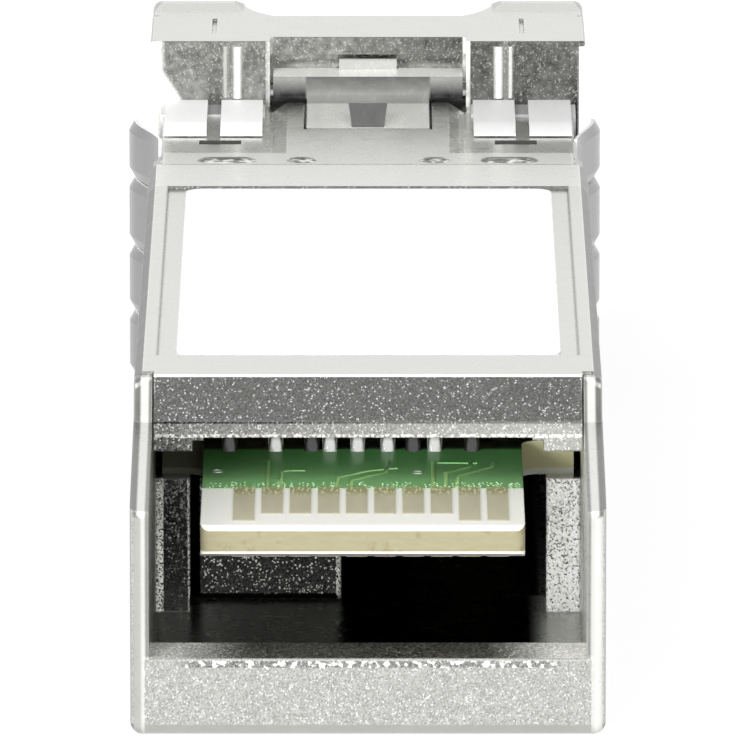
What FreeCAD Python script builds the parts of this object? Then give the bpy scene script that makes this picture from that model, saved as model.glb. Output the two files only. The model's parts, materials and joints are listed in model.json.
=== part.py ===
import FreeCAD, Part
import math
import os

# Pluggable optical transceiver, in millimetres, lying on its true top with the label face up.
# While it is drawn, x runs across, y from the rear skirt (0) to the nose, and z up from the
# face that it lies on. Each piece is moved back by half the length when it is written.

# Whole module
length = 56.5
body_width = 13.34
body_height = 8.5
front_width = 13.1
edge_radius = 0.35
front_chamfer = 0.3

# Rear skirt, tub and side walls of the base
tub_width = 12.28
tub_floor = 0.3
lip_depth = 1.87
lip_top = 2.25
wall_rear_top = 6.47
wall_slope_end = 7.4
wall_slope_top = 7.35
rim_seat = 8.2
horn_top = 8.42
horn_front = 8.85
horn_round = 0.16
split_y = 37.85
seam = 0.02

# Cover plate and its rear lip
block_width = 12.2
lip_rear = 7.57
lip_low = 6.865
lip_high = 7.31
rim_rear = 8.45
rim_round = 0.15
lip_foot_low = 6.47
lip_foot_in = 5.0
lip_foot_end = 9.5
lip_step_in = 4.68
lip_step_low = 6.78
rim_chamfer = 0.23
recess_rear = 11.05
recess_front = 34.6
recess_width = 12.08
recess_floor = 8.4
cover_pocket_width = 10.6
cover_pocket_top = 7.75
clamp_inner = 5.35
clamp_outer = 5.85
clamp_spans = [(16.0, 18.5), (27.0, 30.0)]

# Label
label_left = -5.5
label_right = 5.53
label_thick = 0.07
label_margin = 0.2
label_corner = 0.5

# Edge board and its plated contacts
board_low = 4.3
board_top = 5.3
paddle_left = -4.73
paddle_right = 4.43
paddle_rear = 3.2
paddle_neck = 14.06
paddle_corner = 0.25
paddle_bevel = 0.14
under_bevel_long = 0.6
under_bevel_high = 0.2
board_half = 5.95
board_front = 31.6
neck_radius = 0.5
contact_count = 10
contact_pitch = 0.8
contact_width = 0.6
contact_middle = 0.08
contact_thick = 0.035
contact_front = 7.95
contact_short = 4.72
contact_long = 3.86
long_contacts = (0, 8, 9)

# Board posts and heat pedestal in the tub
post_inner = 5.15
post_rear = 13.6
post_front = 15.6
front_post_rear = 29.0
front_post_front = 31.0
pedestal_left = -4.88
pedestal_right = -0.78
pedestal_rear = 15.3
pedestal_front = 24.0
pedestal_top = 3.9
pad_inset = 0.3

# Chips on the board: centre x, centre y, side, height
laser_driver = (-3.1, 26.0, 3.0, 0.75)
receiver_amp = (3.1, 26.0, 3.0, 0.75)
controller = (0.6, 19.6, 4.0, 0.8)

# Chip capacitors: rows of (y of the rear end, x places)
chip_long = 1.0
chip_wide = 0.42
chip_high = 0.55
chip_cap = 0.25
chip_cap_step = 0.03
chip_rows = [
    (12.85, (-4.0, -2.66, -1.62, -1.1, -0.3, 0.57, 1.3, 1.92, 3.0)),
    (16.4, (-2.6, -1.7, 3.4, 4.3)),
    (22.6, (-4.2, -3.2, -0.4, 0.6, 3.2, 4.2)),
]

# Cover screw and its boss
screw_y = 33.2
screw_radius = 0.55
screw_clearance = 0.75
screw_head = 1.28
screw_tip = 4.2
screw_slot = 0.3
screw_slot_reach = 0.77
screw_slot_depth = 0.35
boss_radius = 1.3
boss_top = 6.78

# Nose, its top flange and the bail's ears
nose_rear = 48.0
nose_front = 55.65
nose_half = 6.57
nose_low_top = 7.4
flange_half = 6.76
flange_low = 10.14
flange_top = 10.3
flange_front = 52.1
flange_round = 0.07
slit_x = 4.8
slit_width = 0.15
slit_rear = 49.3
slit_front = 51.6
slit_depth = 0.1
ribs = ((4.06, 0.15), (4.435, 0.06))
ear_inner = 3.9
ear_front = 54.2
ear_top = 10.45
ear_round = 0.5
ear_bulge = 0.12
ear_blend = 0.3
ear_ramp_rear = 52.75
ear_ramp_front = 53.4
gusset_inner = 2.96
gusset_front = 54.1
gusset_low = 9.75
gusset_middle = (3.63, 53.0)
visor_rear = 48.67
visor_low = 9.75

# Duplex optical ports
optic_x = 3.125
optic_z = 4.75
port_half = 2.35
port_back = 46.2
key_half = 1.6
key_low = 0.75
key_back = 47.6
mouth_step = 0.15
mouth_depth = 0.35

# Optical cans, barrels and sleeves
can_bore = 2.7
can_radius = 2.35
can_rim = 2.6
can_rear = 37.3
can_rim_front = 38.3
can_seat = 43.0
barrel_seat = 44.0
barrel_flange = 2.3
barrel_hole = 1.5
barrel_radius = 1.45
barrel_front = 51.3
sleeve_radius = 0.95
sleeve_back = 46.6
ferrule_bore = 0.627
barrel_mouth = 0.9
pin_radius = 0.18
pin_circle = 0.9
flex_half = 1.5
flex_thick = 0.12
flex_face = 36.07
flex_low = 3.7
flex_high = 6.0
flex_rear = 29.8
retainer_rear = 36.2
retainer_half = 5.9
retainer_top = 6.7
retainer_slot_low = 3.2

# Shallow pits in the front block's top, each from one end centre to the other
pit_y = 38.5
pit_radius = 0.46
pit_depth = 0.05
pit_spans = ((2.03, 2.03), (3.86, 4.74))

# Recess and spring collar behind the nose
collar_recess_rear = 39.6
tip_slot = (3.9, 5.2, 42.3, 42.9)
tip_slot_depth = 0.1
collar_side = 6.35
collar_drop = 0.3
collar_keep = 2.95
collar_keep_top = 2.5
collar_sheet = 0.1
band_rear = 46.4
band_front = 47.98
band_gap = 3.2
side_finger_edges = (0.25, 2.29, 4.36, 6.5, 8.3)
finger_gap = 0.08
side_finger_tip = 42.8
side_finger_root = 47.6
right_finger_reach = 7.19
left_finger_reach = 7.4
side_finger_bevel = (0.17, 0.3)
top_finger_crest = 45.9
top_finger_root_high = 7.0
bow_stations = ((0.0, 0.0), (0.14, 0.6), (0.36, 1.0), (0.68, 0.6), (1.0, 0.0))
face_finger_spans = ((3.26, 4.56), (4.98, 6.3))
face_finger_tip = 43.4
face_finger_bend = 44.4
face_finger_heel = 47.6
face_finger_root_top = 8.45
face_finger_bend_top = 8.47
face_finger_mid_top = 8.43
face_finger_tip_top = 8.33
under_finger_spans = ((-6.1, -3.2), (-2.9, -0.15), (0.15, 2.9), (3.2, 6.1))
under_finger_low = 0.04

# Latch lever, its pin and its cavity
lever_y = 48.8
lever_z = 8.5
lever_pin_radius = 0.375
lever_pin_half = 6.3
lever_play = 0.03
knuckle_radius = 0.58
tongue_half = 1.9
tongue_rear = 43.3
tongue_low = 8.1
slot_half = 1.98
slot_rear = 43.2
slot_low = 7.35
cavity_half = 3.05
cavity_rear = 47.3
cavity_low = 7.55
cavity_front = 49.45
cross_half = 2.95
cross_rear = 47.4
cross_front = 48.75
cross_low = 8.6
cross_top = 9.3
ramp_radius = 0.4
tab_half = 0.9
tab_rear = 48.5
tab_top = 9.6
boss_rear = 43.44
boss_shoulder = 45.0
boss_rear_half = 0.5
boss_front_half = 0.6
boss_high = 8.95
arm_half = 0.85
arm_low = 8.3
arm_high = 8.7
riser_rear = 52.3
riser_front = 52.7
tip_front = 54.3
tip_thick = 0.4
tunnel_half = 0.95
tunnel_low = 8.15
tunnel_high = 9.2
leaf_half = 0.6
leaf_thick = 0.1
leaf_bend = 46.0
leaf_crest = 44.4
leaf_tip = 43.9
leaf_play = 0.02

# Bail, its shaft and the eccentric that lifts the lever's tip
shaft_y = 53.4
shaft_z = 8.55
shaft_radius = 0.35
shaft_play = 0.03
shaft_half = 6.4
cam_radius = 0.78
cam_throw = 0.397
cam_angle = 45.0
cam_half = 0.8
cam_play = 0.04
hub_radius = 0.95
hub_inner = 0.95
hub_outer = 3.3
bail_bay_half = 3.85
bail_rear = 55.75
bail_half = 6.5
bail_arm = 0.85
bail_low = 0.1
bail_bar_top = 0.72
bail_head_low = 7.6
bail_head_top = 9.0
bail_round = 0.2
neck_top = 8.55

# Reach past a face for cuts, and how close counts as touching
far = 20.0
overlap = 0.1
near = 0.001


def vec(x, y, z):
    return FreeCAD.Vector(x, y, z)


def box(x0, x1, y0, y1, z0, z1):
    return Part.makeBox(x1 - x0, y1 - y0, z1 - z0, vec(x0, y0, z0))


def mid_box(half, y0, y1, z0, z1):
    return box(-half, half, y0, y1, z0, z1)


def rod_x(x0, x1, y, z, radius):
    return Part.makeCylinder(radius, x1 - x0, vec(x0, y, z), vec(1, 0, 0))


def rod_y(y0, y1, x, z, radius):
    return Part.makeCylinder(radius, y1 - y0, vec(x, y0, z), vec(0, 1, 0))


def rod_z(z0, z1, x, y, radius):
    return Part.makeCylinder(radius, z1 - z0, vec(x, y, z0), vec(0, 0, 1))


def prism(corners, push):
    wire = Part.makePolygon(corners + corners[:1])
    return Part.Face(wire).extrude(push)


def side_prism(outline, x0, x1):
    # outline is seen from the side, as (y, z) points
    return prism([vec(x0, y, z) for y, z in outline], vec(x1 - x0, 0, 0))


def mirrored(shape):
    return shape.mirror(vec(0, 0, 0), vec(1, 0, 0))


def both_sides(shapes):
    return shapes + [mirrored(shape) for shape in shapes]


def joined(shapes):
    return shapes[0].multiFuse(shapes[1:]).removeSplitter()


def less(shape, cuts):
    return shape.cut(cuts).removeSplitter()


def rounded(solid, radius, wanted):
    edges = [edge for edge in solid.Edges if wanted(edge.BoundBox)]
    return solid.makeFillet(radius, edges)


def long_top_edges(solid):
    edges = []
    for edge in solid.Edges:
        if edge.BoundBox.ZMin > body_height - near and edge.BoundBox.XLength < near:
            edges.append(edge)
    return edges


def smooth_edge(points):
    curve = Part.BSplineCurve()
    curve.interpolate(points)
    return curve.toShape()


def bow_outline(spot, root, tip, foot, rise):
    # strip of the collar's sheet seen edge on, bowed away from its foot height by rise
    inner = []
    outer = []
    for along, share in bow_stations:
        place = root + (tip - root) * along
        inner.append(spot(place, foot + rise * share))
        outer.append(spot(place, foot + rise * share + collar_sheet))
    ends = [Part.makeLine(inner[-1], outer[-1]), Part.makeLine(outer[0], inner[0])]
    return Part.Wire([smooth_edge(inner), ends[0], smooth_edge(outer[::-1]), ends[1]])


def side_finger(low, high, reach):
    # bowed along the module, flat across its height and bevelled along both edges
    crest = reach - collar_side - collar_sheet
    drop, wide = side_finger_bevel
    outlines = []
    for z, rise in ((low, crest - drop), (low + wide, crest), (high - wide, crest), (high, crest - drop)):
        spot = lambda y, out: vec(out, y, z)
        outlines.append(bow_outline(spot, side_finger_root, side_finger_tip, collar_side, rise))
    return Part.makeLoft(outlines, True, True)


def face_finger(x0, x1):
    # flat strip from its heel on the band, turned down at the tip
    middle = (face_finger_bend + face_finger_tip) / 2

    def turned_down(drop):
        return Part.Arc(
            vec(x0, face_finger_bend, face_finger_bend_top - drop),
            vec(x0, middle, face_finger_mid_top - drop),
            vec(x0, face_finger_tip, face_finger_tip_top - drop),
        ).toShape()

    tip_edge = Part.makeLine(
        vec(x0, face_finger_tip, face_finger_tip_top),
        vec(x0, face_finger_tip, face_finger_tip_top - collar_sheet),
    )
    seat = body_height - collar_drop
    back = [
        vec(x0, face_finger_bend, face_finger_bend_top - collar_sheet),
        vec(x0, face_finger_heel, face_finger_root_top - collar_sheet),
        vec(x0, face_finger_heel, seat),
        vec(x0, band_front, seat),
        vec(x0, band_front, face_finger_root_top),
        vec(x0, face_finger_bend, face_finger_bend_top),
    ]
    edges = [turned_down(0), tip_edge, turned_down(collar_sheet)] + Part.makePolygon(back).Edges
    outline = Part.Wire(Part.__sortEdges__(edges))
    return Part.Face(outline).extrude(vec(x1 - x0, 0, 0))


def save(node, shape):
    moved = shape.copy()
    moved.translate(vec(0, -length / 2, 0))
    moved.exportStep("parts/" + node + ".step")
    print(node, "solids", len(moved.Solids), "valid", moved.isValid(), "volume", round(moved.Volume, 3))


def tub():
    half = body_width / 2
    block = mid_box(half, 0, split_y, 0, horn_top)

    def outside_edge(bound):
        rear_edge = bound.YMax < near
        low_edge = bound.ZMax < near
        upright = rear_edge and bound.XLength < near
        return upright or (low_edge and (rear_edge or bound.XLength < near))

    block = rounded(block, edge_radius, outside_edge)
    rise = horn_top - wall_slope_top
    over_walls = [
        (-overlap, wall_rear_top),
        (0, wall_rear_top),
        (wall_slope_end, wall_slope_top),
        (wall_slope_end + rise, horn_top),
        (horn_front, horn_top),
        (horn_front, rim_seat),
        (split_y + overlap, rim_seat),
        (split_y + overlap, far),
        (-overlap, far),
    ]
    inside = mid_box(tub_width / 2, lip_depth, split_y, tub_floor, far)
    over_lip = mid_box(tub_width / 2, -overlap, lip_depth, lip_top, far)
    walls = less(block, [side_prism(over_walls, -far, far), inside, over_lip])

    def horn_edge(bound):
        outside = bound.XLength < near and abs(bound.XMin) > half - near
        return outside and bound.ZMin > wall_slope_top - near and bound.YMax < horn_front + near

    return rounded(walls, horn_round, horn_edge)


def tub_furniture():
    reach = tub_width / 2
    posts = [
        box(post_inner, reach, post_rear, post_front, tub_floor, board_low),
        box(post_inner, reach, front_post_rear, front_post_front, tub_floor, board_low),
    ]
    pedestal = box(pedestal_left, pedestal_right, pedestal_rear, pedestal_front, tub_floor, pedestal_top)
    boss = rod_z(tub_floor, boss_top, 0, screw_y, boss_radius)
    boss = boss.cut(rod_z(screw_tip, boss_top, 0, screw_y, screw_radius))
    return both_sides(posts) + [pedestal, boss]


def front_block():
    half = front_width / 2
    block = mid_box(half, split_y, nose_rear, 0, body_height)
    block = rounded(block, edge_radius, lambda bound: bound.ZMax < near and bound.XLength < near)
    block = block.makeChamfer(front_chamfer, long_top_edges(block))
    pits = []
    pit_low = body_height - pit_depth
    for x0, x1 in pit_spans:
        pits.append(rod_z(pit_low, far, x0, pit_y, pit_radius))
        if x1 > x0:
            pits.append(rod_z(pit_low, far, x1, pit_y, pit_radius))
            pits.append(box(x0, x1, pit_y - pit_radius, pit_y + pit_radius, pit_low, far))
    side_recess = box(collar_side, far, collar_recess_rear, nose_rear, -overlap, far)
    face_low = body_height - collar_drop
    recess_section = [
        vec(collar_keep_top, collar_recess_rear, far),
        vec(collar_keep_top, collar_recess_rear, body_height),
        vec(collar_keep, collar_recess_rear, face_low),
        vec(far, collar_recess_rear, face_low),
        vec(far, collar_recess_rear, far),
    ]
    face_recess = prism(recess_section, vec(0, nose_rear - collar_recess_rear, 0))
    under_recess = mid_box(far, collar_recess_rear, nose_rear, -overlap, collar_drop)
    x0, x1, y0, y1 = tip_slot
    slot = box(x0, x1, y0, y1, face_low - tip_slot_depth, far)
    return less(block, both_sides(pits + [side_recess, face_recess, slot]) + [under_recess])


def ear():
    # lug that carries the bail's shaft: rounded shoulder outside, top ramped up from the flange
    shoulder_in = flange_half - ear_round
    run = flange_half - shoulder_in
    rise = ear_top - flange_low
    chord = math.hypot(run, rise)
    bulge_x = (flange_half + shoulder_in) / 2 + ear_bulge * rise / chord
    bulge_z = (flange_low + ear_top) / 2 + ear_bulge * run / chord
    shoulder = Part.Arc(
        vec(flange_half, flange_front, flange_low),
        vec(bulge_x, flange_front, bulge_z),
        vec(shoulder_in, flange_front, ear_top),
    ).toShape()
    corners = [
        vec(shoulder_in, flange_front, ear_top),
        vec(ear_inner + ear_blend, flange_front, ear_top),
        vec(ear_inner, flange_front, flange_top),
        vec(ear_inner, flange_front, nose_low_top),
        vec(nose_half, flange_front, nose_low_top),
        vec(nose_half, flange_front, flange_low),
        vec(flange_half, flange_front, flange_low),
    ]
    section = Part.Wire([shoulder] + Part.makePolygon(corners).Edges)
    bar = Part.Face(section).extrude(vec(0, ear_front - flange_front, 0))
    side_outline = [
        (flange_front, nose_low_top),
        (flange_front, flange_top),
        (ear_ramp_rear, flange_top),
        (ear_ramp_front, ear_top),
        (ear_front, ear_top),
        (ear_front, nose_low_top),
    ]
    side = side_prism(side_outline, 0, flange_half)
    front_edge = lambda bound: bound.YMin > ear_front - near and bound.ZMin > ear_top - near
    return bar.common(rounded(side, ear_round, front_edge))


def ear_gusset():
    # hollow-curved corner web that carries the flange's front edge out to the ear
    inner = vec(gusset_inner, flange_front, gusset_low)
    front = vec(ear_inner, gusset_front, gusset_low)
    middle_x, middle_y = gusset_middle
    hollow = Part.Arc(inner, vec(middle_x, middle_y, gusset_low), front).toShape()
    sides = Part.makePolygon([front, vec(ear_inner, flange_front, gusset_low), inner]).Edges
    return Part.Face(Part.Wire([hollow] + sides)).extrude(vec(0, 0, flange_top - gusset_low))


def nose():
    low = mid_box(nose_half, nose_rear, nose_front, 0, nose_low_top)

    def outside_edge(bound):
        low_long = bound.ZMax < near and bound.XLength < near
        front = bound.YMin > nose_front - near
        return low_long or front

    low = rounded(low, edge_radius, outside_edge)
    back = mid_box(nose_half, nose_rear, flange_front, 0, flange_top)
    back = rounded(back, edge_radius, lambda b: b.ZMax < near and b.XLength < near)
    flange = mid_box(flange_half, nose_rear, flange_front, flange_low, flange_top)
    flange = rounded(flange, flange_round, lambda b: b.ZMin > flange_top - near or b.XLength < near)
    uprights = [rod_z(body_height, flange_low, x, nose_rear, radius) for x, radius in ribs]
    slit = box(slit_x - slit_width / 2, slit_x + slit_width / 2, slit_rear, slit_front,
               flange_top - slit_depth, far)
    solid = joined([low, back, flange] + both_sides([ear()] + uprights))
    return less(solid, both_sides([slit]))


def optic_openings():
    cuts = []
    for x in (-optic_x, optic_x):
        low = optic_z - port_half
        high = optic_z + port_half
        cuts.append(box(x - port_half, x + port_half, port_back, far + nose_front, low, high))
        cuts.append(box(x - key_half, x + key_half, key_back, far + nose_front, key_low, low + overlap))
        wide = port_half + mouth_step
        mouth_rear = nose_front - mouth_depth
        mouth_low = low - mouth_step
        mouth_high = high + mouth_step
        cuts.append(box(x - wide, x + wide, mouth_rear, far + nose_front, mouth_low, mouth_high))
        cuts.append(rod_y(split_y - overlap, barrel_seat, x, optic_z, can_bore))
        cuts.append(rod_y(barrel_seat - overlap, port_back + overlap, x, optic_z, barrel_hole))
    return cuts


def latch_openings():
    bay = mid_box(bail_bay_half, flange_front, far + nose_front, nose_low_top, far)
    return [
        mid_box(slot_half, slot_rear, cavity_rear + overlap, slot_low, far),
        mid_box(cavity_half, cavity_rear, cavity_front, cavity_low, visor_low),
        mid_box(cavity_half, cavity_rear, visor_rear, visor_low - overlap, far),
        mid_box(tunnel_half, cavity_front - overlap, flange_front + overlap, tunnel_low, tunnel_high),
        bay,
        rod_x(-far, far, lever_y, lever_z, lever_pin_radius),
        rod_x(-far, far, shaft_y, shaft_z, shaft_radius + shaft_play),
    ]


def base_shell():
    solid = joined([tub(), front_block(), nose()] + tub_furniture())
    solid = less(solid, optic_openings() + latch_openings())
    return joined([solid] + both_sides([ear_gusset()]))


def cover_shell():
    front = split_y - seam
    slope = (rim_rear - lip_rear) / (body_height - lip_high)
    meet = lip_rear + slope * (rim_seat - lip_high)
    block_outline = [
        (lip_rear, lip_low),
        (lip_rear, lip_high),
        (meet, rim_seat),
        (front, rim_seat),
        (front, lip_low),
    ]
    rim_outline = [
        (meet, rim_seat),
        (rim_rear, body_height),
        (front, body_height),
        (front, rim_seat),
    ]
    half = body_width / 2
    block = side_prism(block_outline, -block_width / 2, block_width / 2)
    rim = side_prism(rim_outline, -half, half)
    rim = rim.makeChamfer(rim_chamfer, long_top_edges(rim))
    horn_notch = box(block_width / 2, far, 0, horn_front + seam, rim_seat, far)
    rim = less(rim, both_sides([horn_notch]))
    rear_top = lambda b: b.ZMin > body_height - near and b.YMax < rim_rear + near
    rim = rounded(rim, rim_round, rear_top)
    foot = box(lip_foot_in, block_width / 2, lip_rear, lip_foot_end, lip_foot_low, lip_low)
    step = box(lip_step_in, lip_foot_in, lip_rear, lip_foot_end, lip_step_low, lip_low)
    clamps = [box(clamp_inner, clamp_outer, y0, y1, board_top, lip_low) for y0, y1 in clamp_spans]
    solid = joined([block, rim] + both_sides([foot, step] + clamps))
    pocket = mid_box(cover_pocket_width / 2, lip_foot_end, split_y, 0, cover_pocket_top)
    pocket = pocket.cut(rod_z(lip_low, far, 0, screw_y, boss_radius + screw_clearance))
    recess = mid_box(recess_width / 2, recess_rear, recess_front, recess_floor, far)
    hole = rod_z(0, far, 0, screw_y, screw_clearance)
    sink_wide = screw_head + 2 * seam
    sink_depth = sink_wide - screw_clearance
    sink_low = recess_floor - sink_depth
    sink = Part.makeCone(screw_clearance, sink_wide, sink_depth, vec(0, screw_y, sink_low))
    return less(solid, [pocket, recess, hole, sink])


def cover_screw():
    head_top = recess_floor - seam
    head_depth = screw_head - screw_radius
    head = Part.makeCone(screw_radius, screw_head, head_depth, vec(0, screw_y, head_top - head_depth))
    shank = rod_z(screw_tip, head_top - head_depth, 0, screw_y, screw_radius)
    slot_low = head_top - screw_slot_depth
    reach = screw_slot_reach
    half = screw_slot / 2
    slots = [
        box(-reach, reach, screw_y - half, screw_y + half, slot_low, far),
        box(-half, half, screw_y - reach, screw_y + reach, slot_low, far),
    ]
    return less(joined([head, shank]), slots)


def label():
    top = recess_floor + label_thick
    rear = recess_rear + label_margin
    front = recess_front - label_margin
    sheet = box(label_left, label_right, rear, front, recess_floor, top)
    return rounded(sheet, label_corner, lambda b: b.ZLength > label_thick / 2)


def emi_collar():
    band_low = collar_drop - collar_sheet
    band_high = body_height - collar_drop + collar_sheet
    outer = mid_box(collar_side + collar_sheet, band_rear, band_front, band_low, band_high)
    inner = mid_box(collar_side, band_rear, band_front, collar_drop, body_height - collar_drop)
    gap = mid_box(band_gap, band_rear, band_front, collar_drop, far)
    pieces = [outer.cut([inner, gap])]
    over_top_finger = [
        (top_finger_crest, band_high),
        (side_finger_root, top_finger_root_high),
        (side_finger_root, far),
        (top_finger_crest, far),
    ]
    clear_x = collar_side + collar_sheet
    for z0, z1 in zip(side_finger_edges[:-1], side_finger_edges[1:]):
        low = z0 + finger_gap / 2
        high = z1 - finger_gap / 2
        over = side_prism(over_top_finger, clear_x, far)
        pieces.append(side_finger(low, high, right_finger_reach).cut(over))
        pieces.append(mirrored(side_finger(low, high, left_finger_reach).cut(over)))
    for x0, x1 in face_finger_spans:
        pieces += both_sides([face_finger(x0, x1)])
    under_rise = collar_drop - collar_sheet - under_finger_low
    for x0, x1 in under_finger_spans:
        spot = lambda y, out: vec(x0, y, -out)
        outline = bow_outline(spot, band_front, face_finger_tip, -collar_drop, under_rise)
        pieces.append(Part.Face(outline).extrude(vec(x1 - x0, 0, 0)))
    return joined(pieces)


def cam_offset():
    # how far the eccentric's centre lies in front of and below the shaft's, with the bail closed
    return cam_throw * math.sin(math.radians(cam_angle))


def latch_lever():
    side = -tongue_half
    ramp_foot = cross_rear - ramp_radius
    turn = ramp_radius * math.sqrt(0.5)
    ramp = Part.Arc(
        vec(side, cross_rear, lever_z + ramp_radius),
        vec(side, ramp_foot + turn, lever_z + ramp_radius - turn),
        vec(side, ramp_foot, lever_z),
    ).toShape()
    corners = [
        vec(side, ramp_foot, lever_z),
        vec(side, tongue_rear, lever_z),
        vec(side, tongue_rear, tongue_low),
        vec(side, lever_y, tongue_low),
        vec(side, lever_y, cross_top),
        vec(side, cross_rear, cross_top),
        vec(side, cross_rear, lever_z + ramp_radius),
    ]
    section = Part.Wire([ramp] + Part.makePolygon(corners).Edges)
    body = Part.Face(section).extrude(vec(2 * tongue_half, 0, 0))
    knuckle = rod_x(-tongue_half, tongue_half, lever_y, lever_z, knuckle_radius)
    cross = mid_box(cross_half, cross_rear, cross_front, cross_low, cross_top)
    tab = mid_box(tab_half, tab_rear, cross_front, cross_low, tab_top)
    boss_low = [
        vec(-boss_rear_half, boss_rear, lever_z),
        vec(boss_rear_half, boss_rear, lever_z),
        vec(boss_front_half, boss_shoulder, lever_z),
        vec(-boss_front_half, boss_shoulder, lever_z),
    ]
    boss = prism(boss_low, vec(0, 0, boss_high - lever_z))
    over_ramp = [(boss_rear, lever_z), (boss_shoulder, boss_high), (boss_shoulder, far), (boss_rear, far)]
    boss = boss.cut(side_prism(over_ramp, -tongue_half, tongue_half))
    tip_low = shaft_z - cam_offset() + cam_radius + cam_play
    tip_high = tip_low + tip_thick
    arm_outline = [
        (lever_y, arm_low),
        (riser_front, arm_low),
        (riser_front, tip_low),
        (tip_front, tip_low),
        (tip_front, tip_high),
        (riser_rear, tip_high),
        (riser_rear, arm_high),
        (lever_y, arm_high),
    ]
    arm = side_prism(arm_outline, -arm_half, arm_half)
    solid = joined([body, knuckle, cross, tab, boss, arm])
    return less(solid, [rod_x(-far, far, lever_y, lever_z, lever_pin_radius + lever_play)])


def lever_pin():
    return rod_x(-lever_pin_half, lever_pin_half, lever_y, lever_z, lever_pin_radius)


def lever_spring():
    crest = tongue_low - leaf_play
    outline = [
        (cavity_rear, slot_low),
        (leaf_bend, slot_low),
        (leaf_crest, crest - leaf_thick),
        (leaf_tip, crest - 2 * leaf_thick),
        (leaf_tip, crest - leaf_thick),
        (leaf_crest, crest),
        (leaf_bend, slot_low + leaf_thick),
        (cavity_rear, slot_low + leaf_thick),
    ]
    return side_prism(outline, -leaf_half, leaf_half)


def cam_shaft():
    offset = cam_offset()
    shaft = rod_x(-shaft_half, shaft_half, shaft_y, shaft_z, shaft_radius)
    cam = rod_x(-cam_half, cam_half, shaft_y + offset, shaft_z - offset, cam_radius)
    return joined([shaft, cam])


def bail_handle():
    front = length
    frame = mid_box(bail_half, bail_rear, front, bail_low, bail_head_top)
    frame = rounded(frame, bail_round, lambda b: b.XLength < near or b.ZLength < near)
    window_half = bail_half - bail_arm
    window = mid_box(window_half, bail_rear - overlap, front + overlap, bail_bar_top, bail_head_low)
    frame = frame.cut(window)
    hub = rod_x(hub_inner, hub_outer, shaft_y, shaft_z, hub_radius)
    neck = box(hub_inner, hub_outer, shaft_y, bail_rear + overlap, bail_head_low, neck_top)
    solid = joined([frame] + both_sides([hub, neck]))
    return less(solid, [rod_x(-far, far, shaft_y, shaft_z, shaft_radius)])


def circuit_board():
    paddle = box(paddle_left, paddle_right, paddle_rear, paddle_neck + overlap, board_low, board_top)
    wide = mid_box(board_half, paddle_neck, board_front, board_low, board_top)
    board = joined([paddle, wide])

    def neck_edge(bound):
        upright = bound.XLength < near and bound.YLength < near
        inner = abs(bound.XMin) < board_half - neck_radius
        return upright and inner and abs(bound.YMin - paddle_neck) < near

    board = rounded(board, neck_radius, neck_edge)
    top_bevel = [
        (paddle_rear, board_top - paddle_bevel),
        (paddle_rear + paddle_bevel, board_top),
        (paddle_rear, board_top),
    ]
    under_bevel = [
        (paddle_rear, board_low + under_bevel_high),
        (paddle_rear + under_bevel_long, board_low),
        (paddle_rear, board_low),
    ]
    cuts = [side_prism(outline, -far, far) for outline in (top_bevel, under_bevel)]
    round_y = paddle_rear + paddle_corner
    left_x = paddle_left + paddle_corner
    right_x = paddle_right - paddle_corner
    left_corner = box(paddle_left, left_x, paddle_rear, round_y, board_low, board_top)
    right_corner = box(right_x, paddle_right, paddle_rear, round_y, board_low, board_top)
    for corner, round_x in ((left_corner, left_x), (right_corner, right_x)):
        cuts.append(corner.cut(rod_z(board_low, board_top, round_x, round_y, paddle_corner)))
    return less(board, cuts)


def edge_contacts():
    contacts = []
    first = contact_middle - contact_pitch * (contact_count - 1) / 2
    for index in range(contact_count):
        x0 = first + index * contact_pitch - contact_width / 2
        x1 = x0 + contact_width
        rear = contact_long if index in long_contacts else contact_short
        contacts.append(box(x0, x1, rear, contact_front, board_top, board_top + contact_thick))
        contacts.append(box(x0, x1, contact_long, contact_front, board_low - contact_thick, board_low))
    return Part.makeCompound(contacts)


def chip(place):
    x, y, side, height = place
    return box(x - side / 2, x + side / 2, y - side / 2, y + side / 2, board_top, board_top + height)


def chip_parts():
    bodies = []
    ends = []
    high = board_top + chip_high
    for y, places in chip_rows:
        far_end = y + chip_long
        for x in places:
            x0 = x - chip_wide / 2
            x1 = x + chip_wide / 2
            bodies.append(box(x0, x1, y + chip_cap, far_end - chip_cap, board_top, high - chip_cap_step))
            ends.append(box(x0, x1, y, y + chip_cap, board_top, high))
            ends.append(box(x0, x1, far_end - chip_cap, far_end, board_top, high))
    return Part.makeCompound(bodies), Part.makeCompound(ends)


def thermal_pad():
    return box(pedestal_left + pad_inset, pedestal_right - pad_inset, pedestal_rear + pad_inset,
               pedestal_front - pad_inset, pedestal_top, board_low)


def optic_can(x):
    rim = rod_y(can_rear, can_rim_front, x, optic_z, can_rim)
    cap = rod_y(can_rim_front, can_seat, x, optic_z, can_radius)
    pieces = [rim, cap]
    for quarter in range(4):
        angle = math.pi / 4 + quarter * math.pi / 2
        px = x + pin_circle * math.cos(angle)
        pz = optic_z + pin_circle * math.sin(angle)
        pieces.append(rod_y(flex_face, can_rear, px, pz, pin_radius))
    return joined(pieces)


def optic_barrel(x):
    flange = rod_y(can_seat, barrel_seat, x, optic_z, barrel_flange)
    tube = rod_y(barrel_seat, barrel_front, x, optic_z, barrel_radius)
    depth = barrel_mouth - ferrule_bore
    seat = rod_y(sleeve_back, barrel_front - depth, x, optic_z, sleeve_radius)
    bore = rod_y(sleeve_back, barrel_front + overlap, x, optic_z, ferrule_bore)
    mouth_foot = vec(x, barrel_front - depth, optic_z)
    mouth = Part.makeCone(ferrule_bore, barrel_mouth, depth, mouth_foot, vec(0, 1, 0))
    return less(joined([flange, tube]), [seat, bore, mouth])


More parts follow.
